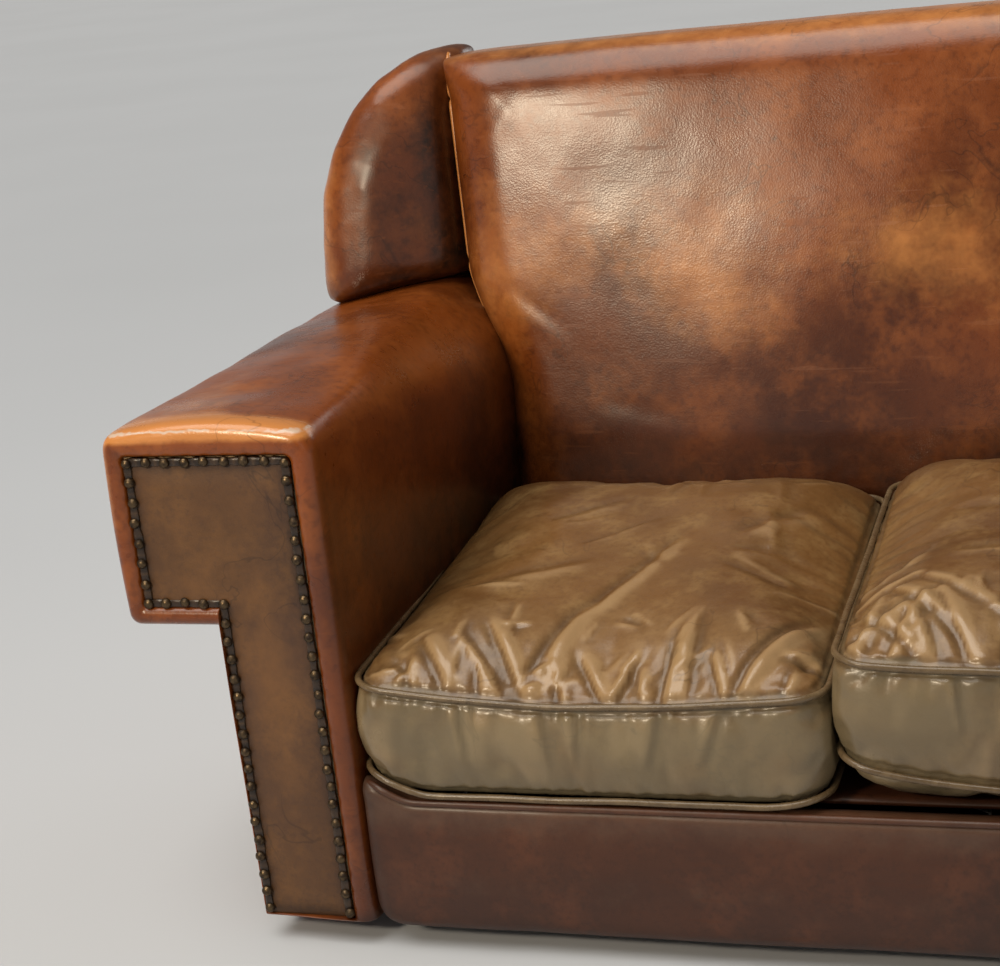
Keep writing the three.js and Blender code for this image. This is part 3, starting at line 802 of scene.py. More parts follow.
def nail_strip(side):
    """The narrow folded strip under the nails, puckered between one nail and the next."""
    path = along_turns(nail_turns(side), 4.5, 4)
    spots = nail_spots(side)
    near = np.linalg.norm(path[:, None] - spots[None], axis=2).min(axis=1)
    puff = smooth(near, 4.0, 11.0)
    run = np.gradient(path, axis=0)
    run /= np.linalg.norm(run, axis=1)[:, None]
    aside = np.column_stack([run[:, 1], -run[:, 0]])
    wobble = lumps(np.column_stack([path, path[:, 0] * 0]), 17.0, 91 + side)
    half = 4.4 + 0.5 * puff + 0.8 * wobble
    rows = []
    for across, height in STRIP_SECTION:
        at = path + aside * (across * half)[:, None]
        rise = height * (0.75 + 0.6 * puff) + 1.2
        rows.append(np.column_stack([at[:, 0], FRONT - rise, at[:, 1]]))
    under = np.full(len(path), FRONT + 3.0)
    back = [np.column_stack([row[:, 0], under, row[:, 2]]) for row in (rows[-1], rows[0])]
    ring = np.stack([*rows, *back, rows[0]], axis=1)
    piece = closed_skin(ring, side_name(side) + "_nail_strip", weld=0.01)
    places, _ = read(piece)
    flat = places[:, [0, 2]]
    close = np.linalg.norm(flat[:, None] - spots[None], axis=2).min(axis=1)
    paint(piece, rub=0.35 * smooth(close, 7.0, 11.5), grime=0.95 * (1.0 - smooth(close, 6.0, 12.0)))
    return piece


class SOFA_OT_arms(bpy.types.Operator):
    """Both arms: leather, facing, nail strip and nails"""

    bl_idname = "sofa.arms"
    bl_label = "Arms"

    def execute(self, context):
        for side in (-1, 1):
            name = side_name(side)
            cover = arm_cover(side)
            arm_wear(cover, side)
            hidden = [f"{name}_{part}" for part in ("arm_cover", "arm_padding", "arm_edge_roll")]
            settle(cover, finish("cover leather"), hidden)
            settle(facing_panel(side), finish("facing leather"), [name + "_arm_facing"])
            settle(nail_strip(side), finish("strip leather"), [name + "_arm_nail_band"])
            settle(nails(side), finish("nail bronze"))
        return {"FINISHED"}


EAR_SPREAD = 0.07  # how far the seam beside the back moves out for each millimetre of height


def wing_bottom(across, depth):
    """The height of the arm's top under the wing."""
    return ARM_TOP + arm_crown(across, depth) - 3.0


def wing_skin(side):
    """One padded ear: rings that round over from its rim to its face, which turns in to the back."""
    inner, outer, top = WING_LOW[0], WING_HIGH[0] + 4.0, WING_HIGH[2]
    steps = [10, 16, 10, 16]
    turn_radius = 62.0
    stages = [(0.0, 1.0, 0.0), (0.0, 0.45, 0.2)]
    for angle in np.linspace(0.0, math.pi / 2.0, 9):
        stages.append((turn_radius * (1.0 - math.cos(angle)), turn_radius * (1.0 - math.sin(angle)), 1.0))
    stages += [(turn_radius + extra, -1.5 * math.sqrt(extra), 1.0) for extra in (8, 18, 30)]
    rings = []
    for inset, ahead, on_face in stages:
        rim, seam_side = outer - inset, inner + 0.35 * inset
        foot, head = ARM_TOP - 6 + 0.45 * inset, top - 0.9 * inset
        corners = [
            (rim, foot, 22, 22),
            (seam_side, foot, 10, 10),
            (seam_side, head, 14, 12),
            (rim, head, min(176.0, max(rim - seam_side, 4.0) * 0.86), 240 - 1.2 * inset),
        ]
        ring = rounded(corners, steps)
        x, z = ring[:, 0], ring[:, 1]
        seam = (x - inner) / (outer - inner)
        face = 708.0 - 88.0 * seam - 14.0 * np.sin(math.pi * np.clip(seam, 0, 1)) + 0.15 * (z - ARM_TOP)
        rear = panel_plane(z) - FRONT - 3.0
        depth = (face + ahead) if on_face == 1.0 else rear + (face + turn_radius - rear) * (1.0 - ahead)
        rings.append(np.column_stack([x, FRONT + depth, z]))
    points = np.array(rings)
    across = np.clip((points[..., 0] - ARM_IN) / (ARM_OUT - ARM_IN), 0.0, 1.0)
    low = 1.0 - smooth(points[..., 2], ARM_TOP - 6, ARM_TOP + 110)
    lifted = wing_bottom(across, points[..., 1] - FRONT) - ARM_TOP + 6
    points[..., 2] += low * lifted
    near_seam = 1.0 - smooth(points[..., 0], inner, inner + 40)
    spread = EAR_SPREAD * np.clip(points[..., 2] - ARM_TOP, 0, None) * near_seam
    points[..., 0] += spread * (1.0 - smooth(points[..., 1] - FRONT, 735.0, 785.0))
    points[..., 0] *= side
    return closed_skin(points, side_name(side) + "_wing_leather")


def wing_wear(piece, side):
    """Softens a wing's skin and paints its wear, painted shade over its face, beside its seam and at its
    foot, and a painted highlight along its rim.
    """
    places, normals = read(piece)
    rough = 1.5 * lumps(places, 120.0, 41 + side) + 0.5 * lumps(places, 45.0, 43)
    put(piece, places + normals * rough[:, None])
    x, depth, z = np.abs(places[:, 0]), places[:, 1] - FRONT, places[:, 2]
    # Painted shade: darker beside the seam with the back, at the foot where the ear meets the arm, and over
    # the whole face.
    seam = 1.0 - smooth(x - EAR_SPREAD * (z - ARM_TOP), WING_LOW[0] + 4, WING_LOW[0] + 62)
    foot = 1.0 - smooth(z, ARM_TOP + 4, ARM_TOP + 46)
    face = (depth < 760) * (1.0 - smooth(x, 960, 1035)) * (1.0 - smooth(z, 800, 925))
    grime = np.clip(0.6 * seam * (depth > 640) + 0.55 * foot + 0.72 * face, 0, 1)
    # Lighter along the rim, a painted highlight, and along the top.
    rub = 0.45 * smooth(x, 985, 1045) * (depth < 720) + 0.25 * smooth(z, 880, 930)
    paint(piece, rub=rub, grime=grime)
    subdivide(piece)


class SOFA_OT_wings(bpy.types.Operator):
    """The two padded ears on the back"""

    bl_idname = "sofa.wings"
    bl_label = "Ears"

    def execute(self, context):
        for side in (-1, 1):
            name = side_name(side)
            piece = wing_skin(side)
            remesh(piece, 9.0)
            wing_wear(piece, side)
            hidden = [name + "_wing_cover", name + "_wing_padding"]
            settle(piece, finish("cover leather"), hidden)
        return {"FINISHED"}


BACK_BETWEEN_ARMS = 799.0  # half the inside back's width down between the arms
BACK_WALL = 838.0  # depth of the inside back's rear edge at its top
# Rows of the back's section where its top turns over, and the first row that hangs down behind.
TOP_TURN = (58, 70)
REAR_ROW = 74


def back_half(z):
    """Half the inside back's width at a height: between the arms below, along the ears above."""
    above = WING_LOW[0] + EAR_SPREAD * np.clip(z - ARM_TOP, 0.0, None)
    return BACK_BETWEEN_ARMS + (above - BACK_BETWEEN_ARMS) * smooth(z, 480.0, 650.0)


def back_section():
    """Depth and height along the middle of the inside back: up its face, over the top and down behind."""
    face = [(586.0 + (z - BACK_FOOT) * 0.09, z) for z in np.linspace(BACK_FOOT, 430.0, 22)]
    face += [(607.4 + (z - 430.0) * 0.19, z) for z in np.linspace(430.0, 880.0, 40)[1:]]
    start = 0.19  # the angle at which the face runs into the round of the top
    turn = np.linspace(start, math.pi / 2.0, 10)[1:]
    depths = 693.0 + 62.0 * (math.cos(start) - np.cos(turn))
    heights = 880.0 + 58.0 * (np.sin(turn) - math.sin(start)) / (1.0 - math.sin(start))
    over = list(zip(depths, heights))
    quarter = np.linspace(0.0, math.pi / 2.0, 7)
    rear = [(800.0 + 42.0 * math.sin(angle), 898.0 + 40.0 * math.cos(angle)) for angle in quarter]
    return np.array(face + over + [(778.0, 938.0)] + rear + [(842.0, 890.0)])


def back_skin():
    """The inside back's leather: a crowned sheet that rounds off deeply towards both sides."""
    section = back_section()
    shares = np.linspace(-1.0, 1.0, 131)
    shares = np.sign(shares) * (1.0 - (1.0 - np.abs(shares)) ** 1.35)
    rows = []
    for row, (depth, z) in enumerate(section):
        half = float(back_half(z))
        x = shares * half
        gap = half - np.abs(x)
        round_off = 1.0 - np.sqrt(1.0 - (1.0 - np.clip(gap / 80.0, 0.0, 1.0)) ** 2)
        behind = np.full_like(x, depth)
        front = 1.0 - smooth(row, *TOP_TURN)
        behind += front * 72.0 * round_off
        rise = math.pi * np.clip((z - 190.0) / 740.0, 0, 1)
        behind -= front * 15.0 * (1.0 - (x / half) ** 2) * np.sin(rise)
        arch = -12.0 + 14.0 * np.cos(0.5 * math.pi * x / half) - 6.0 * round_off
        height = z + smooth(z, 860.0, 925.0) * arch
        wall = min(BACK_WALL - PANEL_RAKE * max(PANEL_HEAD - z, 0.0), depth + 180.0)
        wall = wall if row < REAR_ROW else 842.0
        left = np.array([(x[0], wall, height[0]), (x[0], (wall + behind[0]) / 2, height[0])])
        right = np.array([(x[-1], (wall + behind[-1]) / 2, height[-1]), (x[-1], wall, height[-1])])
        rows.append(np.concatenate([left, np.column_stack([x, behind, height]), right]))
    points = np.array(rows)
    points[..., 1] += FRONT
    points[-1, :, 1] = points[-1, :, 1].max()
    return points


def back_wear(piece):
    """Softens the inside back, paints its wear and paints shade beside its seams and towards its bottom."""
    places, normals = read(piece)
    x, z = places[:, 0], places[:, 2]
    facing = np.clip(-normals[:, 1] * 2.0, 0.0, 1.0)
    rough = 2.4 * lumps(places, 320.0, 5) + 0.45 * lumps(places, 110.0, 6) + 0.1 * lumps(places, 34.0, 7)
    flat = places[:, [0, 2]]
    pulls = sum(crease(flat, *fold) for fold in BACK_FOLDS)
    shift = rough * np.clip(facing + 0.3, 0, 1) + 0.6 * pulls * facing
    put(piece, places + normals * shift[:, None])
    gap = back_half(z) - np.abs(x)
    # Painted shade: darker beside the seams and towards the bottom.
    seam = 1.0 - smooth(gap, 3.0, 46.0)
    low = 1.0 - smooth(z, 340.0, 600.0)
    shade_and_dirt = 0.75 * seam * (0.4 + 0.6 * low) + 0.72 * low + 0.25 * lumps(places, 420.0, 9) * low
    grime = np.clip(shade_and_dirt, 0, 1)
    shoulders = hill(z, 660.0, 130.0) * (0.55 + 0.45 * lumps(places, 240.0, 8))
    rub = np.clip(0.5 * shoulders + 0.5 * smooth(z, 900.0, 935.0), 0, 1)
    paint(piece, rub=rub, grime=grime)
    subdivide(piece)


# Creases in the inside back, as ((x, z), (x, z), width, height).
BACK_FOLDS = [
    ((-800, 640), (-690, 560), 12, 1.6),
    ((-830, 800), (-760, 880), 10, 1.4),
    ((-790, 900), (-740, 840), 9, 1.5),
    ((-650, 470), (-520, 440), 14, 1.2),
    ((800, 620), (700, 540), 12, 1.6),
    ((830, 820), (750, 880), 10, 1.4),
    ((420, 500), (560, 440), 14, 1.2),
]


def seam_path():
    """The line where the inside back meets the ears and the arms, on the left, top to bottom."""
    heights = np.linspace(936.0, 400.0, 60)
    places = []
    for z in heights:
        half = float(back_half(z))
        depth = np.interp(z, [192.0, 430.0, 880.0, 925.0, 940.0], [664.0, 680.0, 757.0, 768.0, 790.0])
        places.append((half - 1.0, FRONT + depth - 6.0, z - 9.0 * float(smooth(z, 860, 925))))
    return np.array(places)


class SOFA_OT_inside_back(bpy.types.Operator):
    """The padded inside back and the welts at its sides"""

    bl_idname = "sofa.inside_back"
    bl_label = "Inside back"

    def execute(self, context):
        piece = closed_skin(back_skin(), "inside_back_leather")
        back_wear(piece)
        settle(piece, finish("cover leather"), ["inside_back_cover", "back_padding"])
        radius = context.scene.sofa_sizes.welt / MM * 0.8
        for side in (-1, 1):
            path = seam_path() * (side, 1.0, 1.0)
            welt = tube(path, radius, side_name(side) + "_back_welt", closed=False)
            paint(welt, rub=0.75, grime=0.0)
            subdivide(welt)
            settle(welt, finish("cover leather"))
        return {"FINISHED"}


EAR_CURVE = 696.0  # height at which the ears start to curve in
EAR_TIP = 877.0  # half the width across their tops


def panel_half(z):
    """Half the outside back's width at a height: arm posts, arm tops, then the ears' curve."""
    arms = np.where(z < OVERHANG + 4, POST_OUT - 4, ARM_OUT - 4)
    rise = np.clip((z - EAR_CURVE) / (WING_HIGH[2] - 4 - EAR_CURVE), 0.0, 1.0)
    ears = EAR_TIP + (PANEL_HIGH[0] - EAR_TIP) * np.sqrt(1.0 - rise**2)
    return np.where(z > EAR_CURVE, ears, arms)


def panel_skin():
    """The flat leather sheet on the outside of the back, with a turned edge."""
    levels = np.concatenate(
        [np.linspace(PANEL_LOW[2] + 2, OVERHANG + 3, 22), np.linspace(OVERHANG + 5, PANEL_TOP, 32)]
    )
    shares = np.linspace(-1.0, 1.0, 81)
    plane = panel_plane(levels)
    half = panel_half(levels)
    x = shares[None, :] * half[:, None]
    from_ends = np.minimum(levels - levels[0], levels[-1] - levels)
    gap = np.minimum(half[:, None] - np.abs(x), from_ends[:, None])
    y = plane[:, None] - 3.0 + 2.5 * smooth(gap, 0.0, 20.0)
    z = np.repeat(levels[:, None], len(shares), axis=1)
    outside = np.stack([x, y, z], axis=-1)
    inside = outside.copy()
    inside[..., 1] = plane[:, None] - 12.0
    ring = np.concatenate([outside, inside[:, ::-1]], axis=1)
    return np.concatenate([ring, ring[:, :1]], axis=1)


def panel_edge():
    """The line of the welt round the outside back."""
    levels = np.concatenate([np.linspace(OVERHANG + 14, 690.0, 24), np.linspace(700.0, PANEL_TOP, 30)])
    half = panel_half(levels)
    right = np.column_stack([half - 3.0, panel_plane(levels) - 4.0, levels])
    across = np.linspace(half[-1] - 12.0, -half[-1] + 12.0, 100)
    top = np.column_stack([across, np.full(100, panel_plane(PANEL_TOP) - 4.0), np.full(100, PANEL_TOP)])
    left = (right * (-1.0, 1.0, 1.0))[::-1]
    return np.concatenate([right, top, left])


def panel_wear(piece):
    """Softens the outside back and paints its wear."""
    places, normals = read(piece)
    z = places[:, 2]
    gap = panel_half(z) - np.abs(places[:, 0])
    inside = smooth(gap, 0.0, 60.0) * smooth(z, 40.0, 90.0) * (1.0 - smooth(z, 850.0, 890.0))
    rough = 2.0 * lumps(places, 260.0, 51) + 0.6 * lumps(places, 80.0, 52) - 2.5
    places[:, 1] += rough * inside * np.clip(normals[:, 1], 0, 1)
    put(piece, places)
    grime = np.clip(0.6 * (1.0 - smooth(gap, 2.0, 24.0)) + 0.6 * (1.0 - smooth(z, 40.0, 150.0)), 0, 1)
    paint(piece, rub=0.4 * hill(z, 700.0, 120.0), grime=grime)
    subdivide(piece)


class SOFA_OT_outside_back(bpy.types.Operator):
    """The leather sheet behind the back, with its welt"""

    bl_idname = "sofa.outside_back"
    bl_label = "Outside back"

    def execute(self, context):
        piece = closed_skin(panel_skin(), "outside_back_leather")
        panel_wear(piece)
        settle(piece, finish("cover leather"), ["outside_back_cover"])
        welt = tube(panel_edge(), context.scene.sofa_sizes.welt / MM, "outside_back_welt", closed=False)
        paint(welt, rub=0.6, grime=0.0)
        subdivide(welt)
        settle(welt, finish("cover leather"))
        return {"FINISHED"}


def rail_top(x):
    """The height of the front rail's top edge, which climbs beside the arms."""
    return RAIL_HIGH[2] - 3.0 + 22.0 * smooth(np.abs(x), 738.0, 798.0)


def rail_skin():
    """The padded leather over the front rail, rounded off at its ends."""
    half = RAIL_HIGH[0]
    shares = np.linspace(-1.0, 1.0, 151)
    x = half * np.sign(shares) * (1.0 - (1.0 - np.abs(shares)) ** 1.5)
    end = half - np.abs(x)
    side_round = 1.0 - np.sqrt(1.0 - (1.0 - np.clip(end / 22.0, 0.0, 1.0)) ** 2)
    corner = 1.0 - np.sqrt(1.0 - (1.0 - np.clip(end / 36.0, 0.0, 1.0)) ** 2)
    front = RAIL_LOW[1] + 16.0 * side_round
    bottom = RAIL_LOW[2] + 26.0 * corner
    top = rail_top(x) - 5.0 * side_round
    rear = RAIL_HIGH[1] + 4.0
    rows = [np.column_stack([x, np.full_like(x, rear), top])]
    quarter = np.linspace(0.0, math.pi / 2.0, 6)
    for angle in quarter:
        y = front + 15.0 * (1.0 - math.sin(angle))
        rows.append(np.column_stack([x, y, top - 13.0 * (1.0 - math.cos(angle))]))
    for drop in np.linspace(0.0, 1.0, 15)[1:-1]:
        z = (top - 13.0) + (bottom + 18.0 - top + 13.0) * drop
        bulge = 5.0 * math.sin(math.pi * drop) * (1.0 - side_round)
        rows.append(np.column_stack([x, front - bulge + 2.0, z]))
    for angle in quarter:
        y = front + 16.0 * (1.0 - math.cos(angle)) + 2.0
        rows.append(np.column_stack([x, y, bottom + 18.0 * (1.0 - math.sin(angle))]))
    rows.append(np.column_stack([x, np.full_like(x, rear), bottom]))
    rows.append(rows[0])
    return np.stack(rows, axis=1)


def rail_wear(piece):
    """Softens the front rail, paints dust along its top and a lighter band lower down, and darkens its ends
    and its bottom.
    """
    places, normals = read(piece)
    rough = 1.6 * lumps(places, 210.0, 61) + 0.7 * lumps(places, 70.0, 62)
    put(piece, places + normals * (rough * np.clip(-normals[:, 1], 0, 1))[:, None])
    z = places[:, 2]
    end = RAIL_HIGH[0] - np.abs(places[:, 0])
    dusty = smooth(z, 120.0, 185.0) * 0.5
    grime = 0.55 * (1.0 - smooth(end, 4.0, 30.0)) + 0.5 * (1.0 - smooth(z, 26.0, 60.0))
    paint(piece, rub=dusty + 0.2 * hill(z, 90.0, 30.0), grime=np.clip(grime, 0, 1))
    subdivide(piece)


def rail_edge():
    """The line of the welt along the front rail's top."""
    x = np.linspace(-RAIL_HIGH[0] + 6.0, RAIL_HIGH[0] - 6.0, 170)
    ends = smooth(np.abs(x), RAIL_HIGH[0] - 26.0, RAIL_HIGH[0] - 4.0)
    return np.column_stack([x, RAIL_LOW[1] + 3.5 + 14.0 * ends, rail_top(x) - 1.0 - 4.0 * ends])


def deck_skin():
    """The leather under the cushions, with shallow hollows where they press."""
    across = np.linspace(DECK_LOW[0] + 1, DECK_HIGH[0] - 1, 70)
    back = np.linspace(DECK_LOW[1] + 4, DECK_HIGH[1], 40)
    wide, deep = np.meshgrid(across, back)
    flat = np.column_stack([wide.ravel(), deep.ravel(), np.zeros(wide.size)])
    level = SEAT_TOP - 2.6 - 0.9 * np.abs(lumps(flat, 150.0, 66)).reshape(wide.shape)
    top = np.stack([wide, deep, level], axis=-1)
    below = top.copy()
    below[..., 2] = SEAT_TOP - 8.0
    ring = np.concatenate([top, below[:, ::-1]], axis=1)
    return np.concatenate([ring, ring[:, :1]], axis=1)


class SOFA_OT_front_rail(bpy.types.Operator):
    """The padded front rail, its welt and the deck under the cushions"""

    bl_idname = "sofa.front_rail"
    bl_label = "Front rail and deck"

    def execute(self, context):
        piece = closed_skin(rail_skin(), "front_rail_leather")
        rail_wear(piece)
        hidden = ["front_rail_cover", "front_rail_padding"]
        settle(piece, finish("rail leather"), hidden)
        welt = tube(rail_edge(), context.scene.sofa_sizes.welt / MM, "front_rail_welt", closed=False)
        paint(welt, rub=0.3, grime=0.0)
        subdivide(welt)
        settle(welt, finish("rail leather"))
        deck = closed_skin(deck_skin(), "seat_deck_leather")
        paint(deck, rub=0.0, grime=0.45)
        settle(deck, finish("rail leather"), ["seat_deck_cover", "seat_deck_padding"])
        return {"FINISHED"}


# Folds in the top of the left cushion, as ((x, depth), (x, depth), width, height).
LEFT_FOLDS = [
    ((-602, -8), (-668, 92), 9, 5.0),
    ((-690, -4), (-738, 60), 10, 4.0),
    ((-622, -8), (-690, 66), 8, -4.0),
    ((-604, 6), (-560, 140), 11, 4.5),
    ((-560, 120), (-462, 345), 12, 3.2),
    ((-512, -8), (-556, 58), 8, 5.0),
    ((-505, -6), (-478, 60), 7, -5.0),
    ((-472, -6), (-490, 52), 7, 3.6),
    ((-452, -8), (-440, 92), 9, 5.0),
    ((-424, -8), (-428, 112), 9, -3.6),
    ((-384, -8), (-404, 44), 7, 4.2),
    ((-376, -10), (-300, 150), 10, 6.5),
    ((-320, -8), (-312, 34), 6, 3.0),
    ((-276, 44), (-330, 40), 9, 4.5),
    ((-560, -8), (-580, 40), 7, 3.2),
    ((-650, -8), (-662, 38), 7, 2.6),
    ((-730, -6), (-742, 30), 7, 2.6),
    ((-340, 200), (-430, 240), 12, 2.6),
    ((-700, 180), (-560, 250), 16, 2.2),
    ((-420, 300), (-330, 420), 15, 2.4),
]
MIDDLE_FOLDS = [
    ((-262, 18), (-150, 112), 8, 4.2),
    ((-172, -8), (-250, 66), 8, 4.0),
    ((-138, 20), (-232, 128), 8, 3.6),
    ((-112, 62), (-204, 146), 8, 3.2),
    ((-180, 142), (-256, 92), 8, 3.2),
    ((-214, -8), (-178, 96), 7, 3.4),
    ((-158, -8), (-192, 62), 7, -3.4),
    ((-126, -8), (-172, 104), 8, 3.2),
    ((-242, -8), (-220, 112), 8, -3.2),
    ((-264, 150), (-176, 240), 10, 2.6),
    ((-96, -8), (-70, 90), 9, 3.4),
    ((-40, -8), (-64, 70), 8, 3.4),
    ((14, -8), (34, 96), 9, 3.8),
    ((70, -8), (48, 60), 8, -3.0),
    ((128, -8), (150, 110), 9, 4.0),
    ((206, -8), (176, 84), 9, 3.6),
    ((248, -4), (196, 130), 10, 4.0),
    ((-60, 180), (80, 260), 16, 2.4),
]
# The right cushion's folds lie as the left one's do, mirrored, with hollows where that one has ridges.
RIGHT_FOLDS = [((-a[0], a[1]), (-b[0], b[1]), wide, -high) for a, b, wide, high in LEFT_FOLDS]
CUSHION_FOLDS = {"left": LEFT_FOLDS, "middle": MIDDLE_FOLDS, "right": RIGHT_FOLDS}
CUSHION_SEEDS = {"left": 1, "middle": 2, "right": 3}
# Folds in the front of each cushion's side, as (share across at the top, lean, width).
BOXING_FOLDS = [
    (0.24, 0.02, 7.0), (0.42, 0.02, 9.0), (0.50, -0.01, 7.0), (0.67, -0.03, 9.0), (0.80, -0.05, 9.0),
]
# Heights of the top seam: at the front of the middle cushion and of the outer ones, and at the rear.
MIDDLE_SEAM = 322.0
OUTER_SEAM = 326.0
REAR_SEAM = 346.0
SEAM_INSET = 5.0


def pucker(draw, x, depth, angle, lengths, widths, heights):
    """One small crease that starts at a point, up or down, with its sizes drawn from the ranges."""
    along = draw.uniform(*lengths)
    end = (x + along * math.cos(angle), depth + along * math.sin(angle))
    return (x, depth), end, draw.uniform(*widths), draw.choice((-1.0, 1.0)) * draw.uniform(*heights)


def puckers(x0, x1, seed):
    """Small irregular creases: many that run back from the front seam, and a few longer ones behind."""
    draw = np.random.default_rng(seed)
    marks = []
    for _ in range(34):
        x, depth = draw.uniform(x0 + 30, x1 - 30), 120.0 * draw.uniform(0.0, 1.0) ** 1.4
        angle = draw.normal(math.pi / 2.0, 0.75)
        marks.append(pucker(draw, x, depth, angle, (24.0, 62.0), (4.5, 7.5), (1.0, 2.3)))
    for _ in range(16):
        x, depth = draw.uniform(x0 + 40, x1 - 40), draw.uniform(120.0, 500.0)
        angle = draw.uniform(0.0, math.pi)
        marks.append(pucker(draw, x, depth, angle, (50.0, 130.0), (7.0, 13.0), (0.8, 1.9)))
    return marks


class Cushion:
    """The plan, the seam heights and the folds of one seat cushion."""

    def __init__(self, place):
        low, high = reach(place + "_seat_cushion")
        self.place = place
        self.x0, self.x1 = low[0] + 1.0, high[0] - 1.0
        self.front, self.rear = low[1] + 3.0, high[1] - 4.0
        self.bottom = low[2] + 1.0
        self.lift = bpy.context.scene.sofa_sizes.lift / MM if place == "middle" else 0.0
        self.crown = bpy.context.scene.sofa_sizes.crown / MM
        self.seed = CUSHION_SEEDS[place]
        self.folds = CUSHION_FOLDS[place] + puckers(self.x0, self.x1, 300 + self.seed)

    def across(self, x):
        """The share of the way across the cushion, mirrored on the right one."""
        share_across = np.clip((x - self.x0) / (self.x1 - self.x0), 0.0, 1.0)
        return 1.0 - share_across if self.place == "right" else share_across

    def back(self, y):
        """The share of the way to the rear."""
        return np.clip((y - self.front) / (self.rear - self.front), 0.0, 1.0)

    def top_seam(self, x, y):
        """The height of the top seam, which sags in the middle and climbs to the rear."""
        across, back = self.across(x), self.back(y)
        if self.lift:
            front = MIDDLE_SEAM + self.lift - 8.0 * np.sin(math.pi * across)
        else:
            front = OUTER_SEAM - 17.0 * np.sin(math.pi * np.clip(across * 1.05, 0, 1)) - 6.0 * across
        return front + (REAR_SEAM + 0.5 * self.lift - front) * smooth(back, 0.0, 1.0)

    def low_seam(self, x, y):
        """The height of the bottom seam, which lifts off the deck at the front corners."""
        across, back = self.across(x), self.back(y)
        if self.lift:
            rise = 30.0 + 30.0 * np.abs(2.0 * across - 1.0) ** 2
        else:
            rise = 5.0 + 24.0 * (1.0 - smooth(across, 0.0, 0.16)) + 9.0 * smooth(across, 0.85, 1.0)
        return self.bottom + rise * (1.0 - 0.8 * smooth(back, 0.05, 0.7))

    def plan(self, inset, per_side=18):
        """The cushion's outline from above, drawn in by an inset."""
        front_radius, rear_radius = 40 - 0.4 * inset, 34 - 0.3 * inset
        corners = [
            (self.x0 + inset, self.front + inset, front_radius, front_radius),
            (self.x1 - inset, self.front + inset, front_radius, front_radius),
            (self.x1 - inset, self.rear - inset, rear_radius, rear_radius),
            (self.x0 + inset, self.rear - inset, rear_radius, rear_radius),
        ]
        return rounded(corners, [per_side] * 4)

    def skin(self):
        """The closed form between and beyond the two seams, before it is plumped."""
        rings = []
        for down, inset in ((1.0, 100.0), (0.8, 46.0), (0.4, 15.0), (0.0, SEAM_INSET)):
            ring = self.plan(inset)
            seam = self.low_seam(ring[:, 0], ring[:, 1])
            rings.append(np.column_stack([ring, seam + (self.bottom - seam) * down]))
        for up in (0.2, 0.5, 0.8):
            ring = self.plan(SEAM_INSET - 9.0 * math.sin(math.pi * up))
            seam = self.low_seam(ring[:, 0], ring[:, 1])
            tall = self.top_seam(ring[:, 0], ring[:, 1]) - seam
            rings.append(np.column_stack([ring, seam + tall * up]))
        rise = ((SEAM_INSET, 0.0), (15.0, 0.22), (34.0, 0.5), (70.0, 0.78), (115.0, 0.95), (170.0, 1.0))
        for inset, up in rise:
            ring = self.plan(inset)
            seam = self.top_seam(ring[:, 0], ring[:, 1])
            rings.append(np.column_stack([ring, seam + self.crown * up * self.fullness(ring)]))
        return np.array(rings)

    def fullness(self, ring):
        """How full the cushion is at each point of a ring: most towards the back."""
        back = self.back(ring[:, 1])
        return 0.86 + 0.26 * smooth(back, 0.2, 0.85)


def seam_gaps(cushion, places, batch=4000):
    """Each point's distance to the nearer of the cushion's two seams, worked out a batch at a time."""
    ring = cushion.plan(SEAM_INSET, 60)
    seams = (cushion.top_seam, cushion.low_seam)
    lines = np.concatenate([np.column_stack([ring, seam(ring[:, 0], ring[:, 1])]) for seam in seams])
    gaps = []
    for start in range(0, len(places), batch):
        part = places[start:start + batch]
        gaps.append(np.linalg.norm(part[:, None] - lines[None], axis=2).min(axis=1))
    return np.concatenate(gaps)


PRESSURE = 4.0
PLUMP_FRAMES = 20
HELD_WITHIN = 7.0  # cloth this near a seam is held
MOST_TRAVEL = 13.0  # the limit that the cloth's travel from its cut form comes up to


def plump(piece, cushion):
    """Swells the cushion as cloth under pressure, its seams held, and limits how far it may travel."""
    before, _ = read(piece)
    held = piece.vertex_groups.new(name="held")
    for i in np.flatnonzero(seam_gaps(cushion, before) < HELD_WITHIN):
        held.add([int(i)], 1.0, "REPLACE")
    cloth = piece.modifiers.new("plump", "CLOTH")
    cloth.settings.use_pressure = True
    cloth.settings.uniform_pressure_force = PRESSURE
    cloth.settings.effector_weights.gravity = 0.0
    cloth.settings.vertex_group_mass = "held"
    cloth.settings.shrink_min = -0.02
    cloth.settings.quality = 5
    scene = bpy.context.scene
    for moment in range(1, PLUMP_FRAMES + 1):
        scene.frame_set(moment)
    apply_modifiers(piece)
    scene.frame_set(1)
    after, _ = read(piece)
    travel = after - before
    far = np.linalg.norm(travel, axis=1)
    limited = travel * (MOST_TRAVEL * np.tanh(far / MOST_TRAVEL) / np.maximum(far, 1e-6))[:, None]
    limited[:, 2] *= np.where(before[:, 2] < cushion.bottom + 8, 0.0, 1.0)
    put(piece, before + limited)
    piece.vertex_groups.clear()


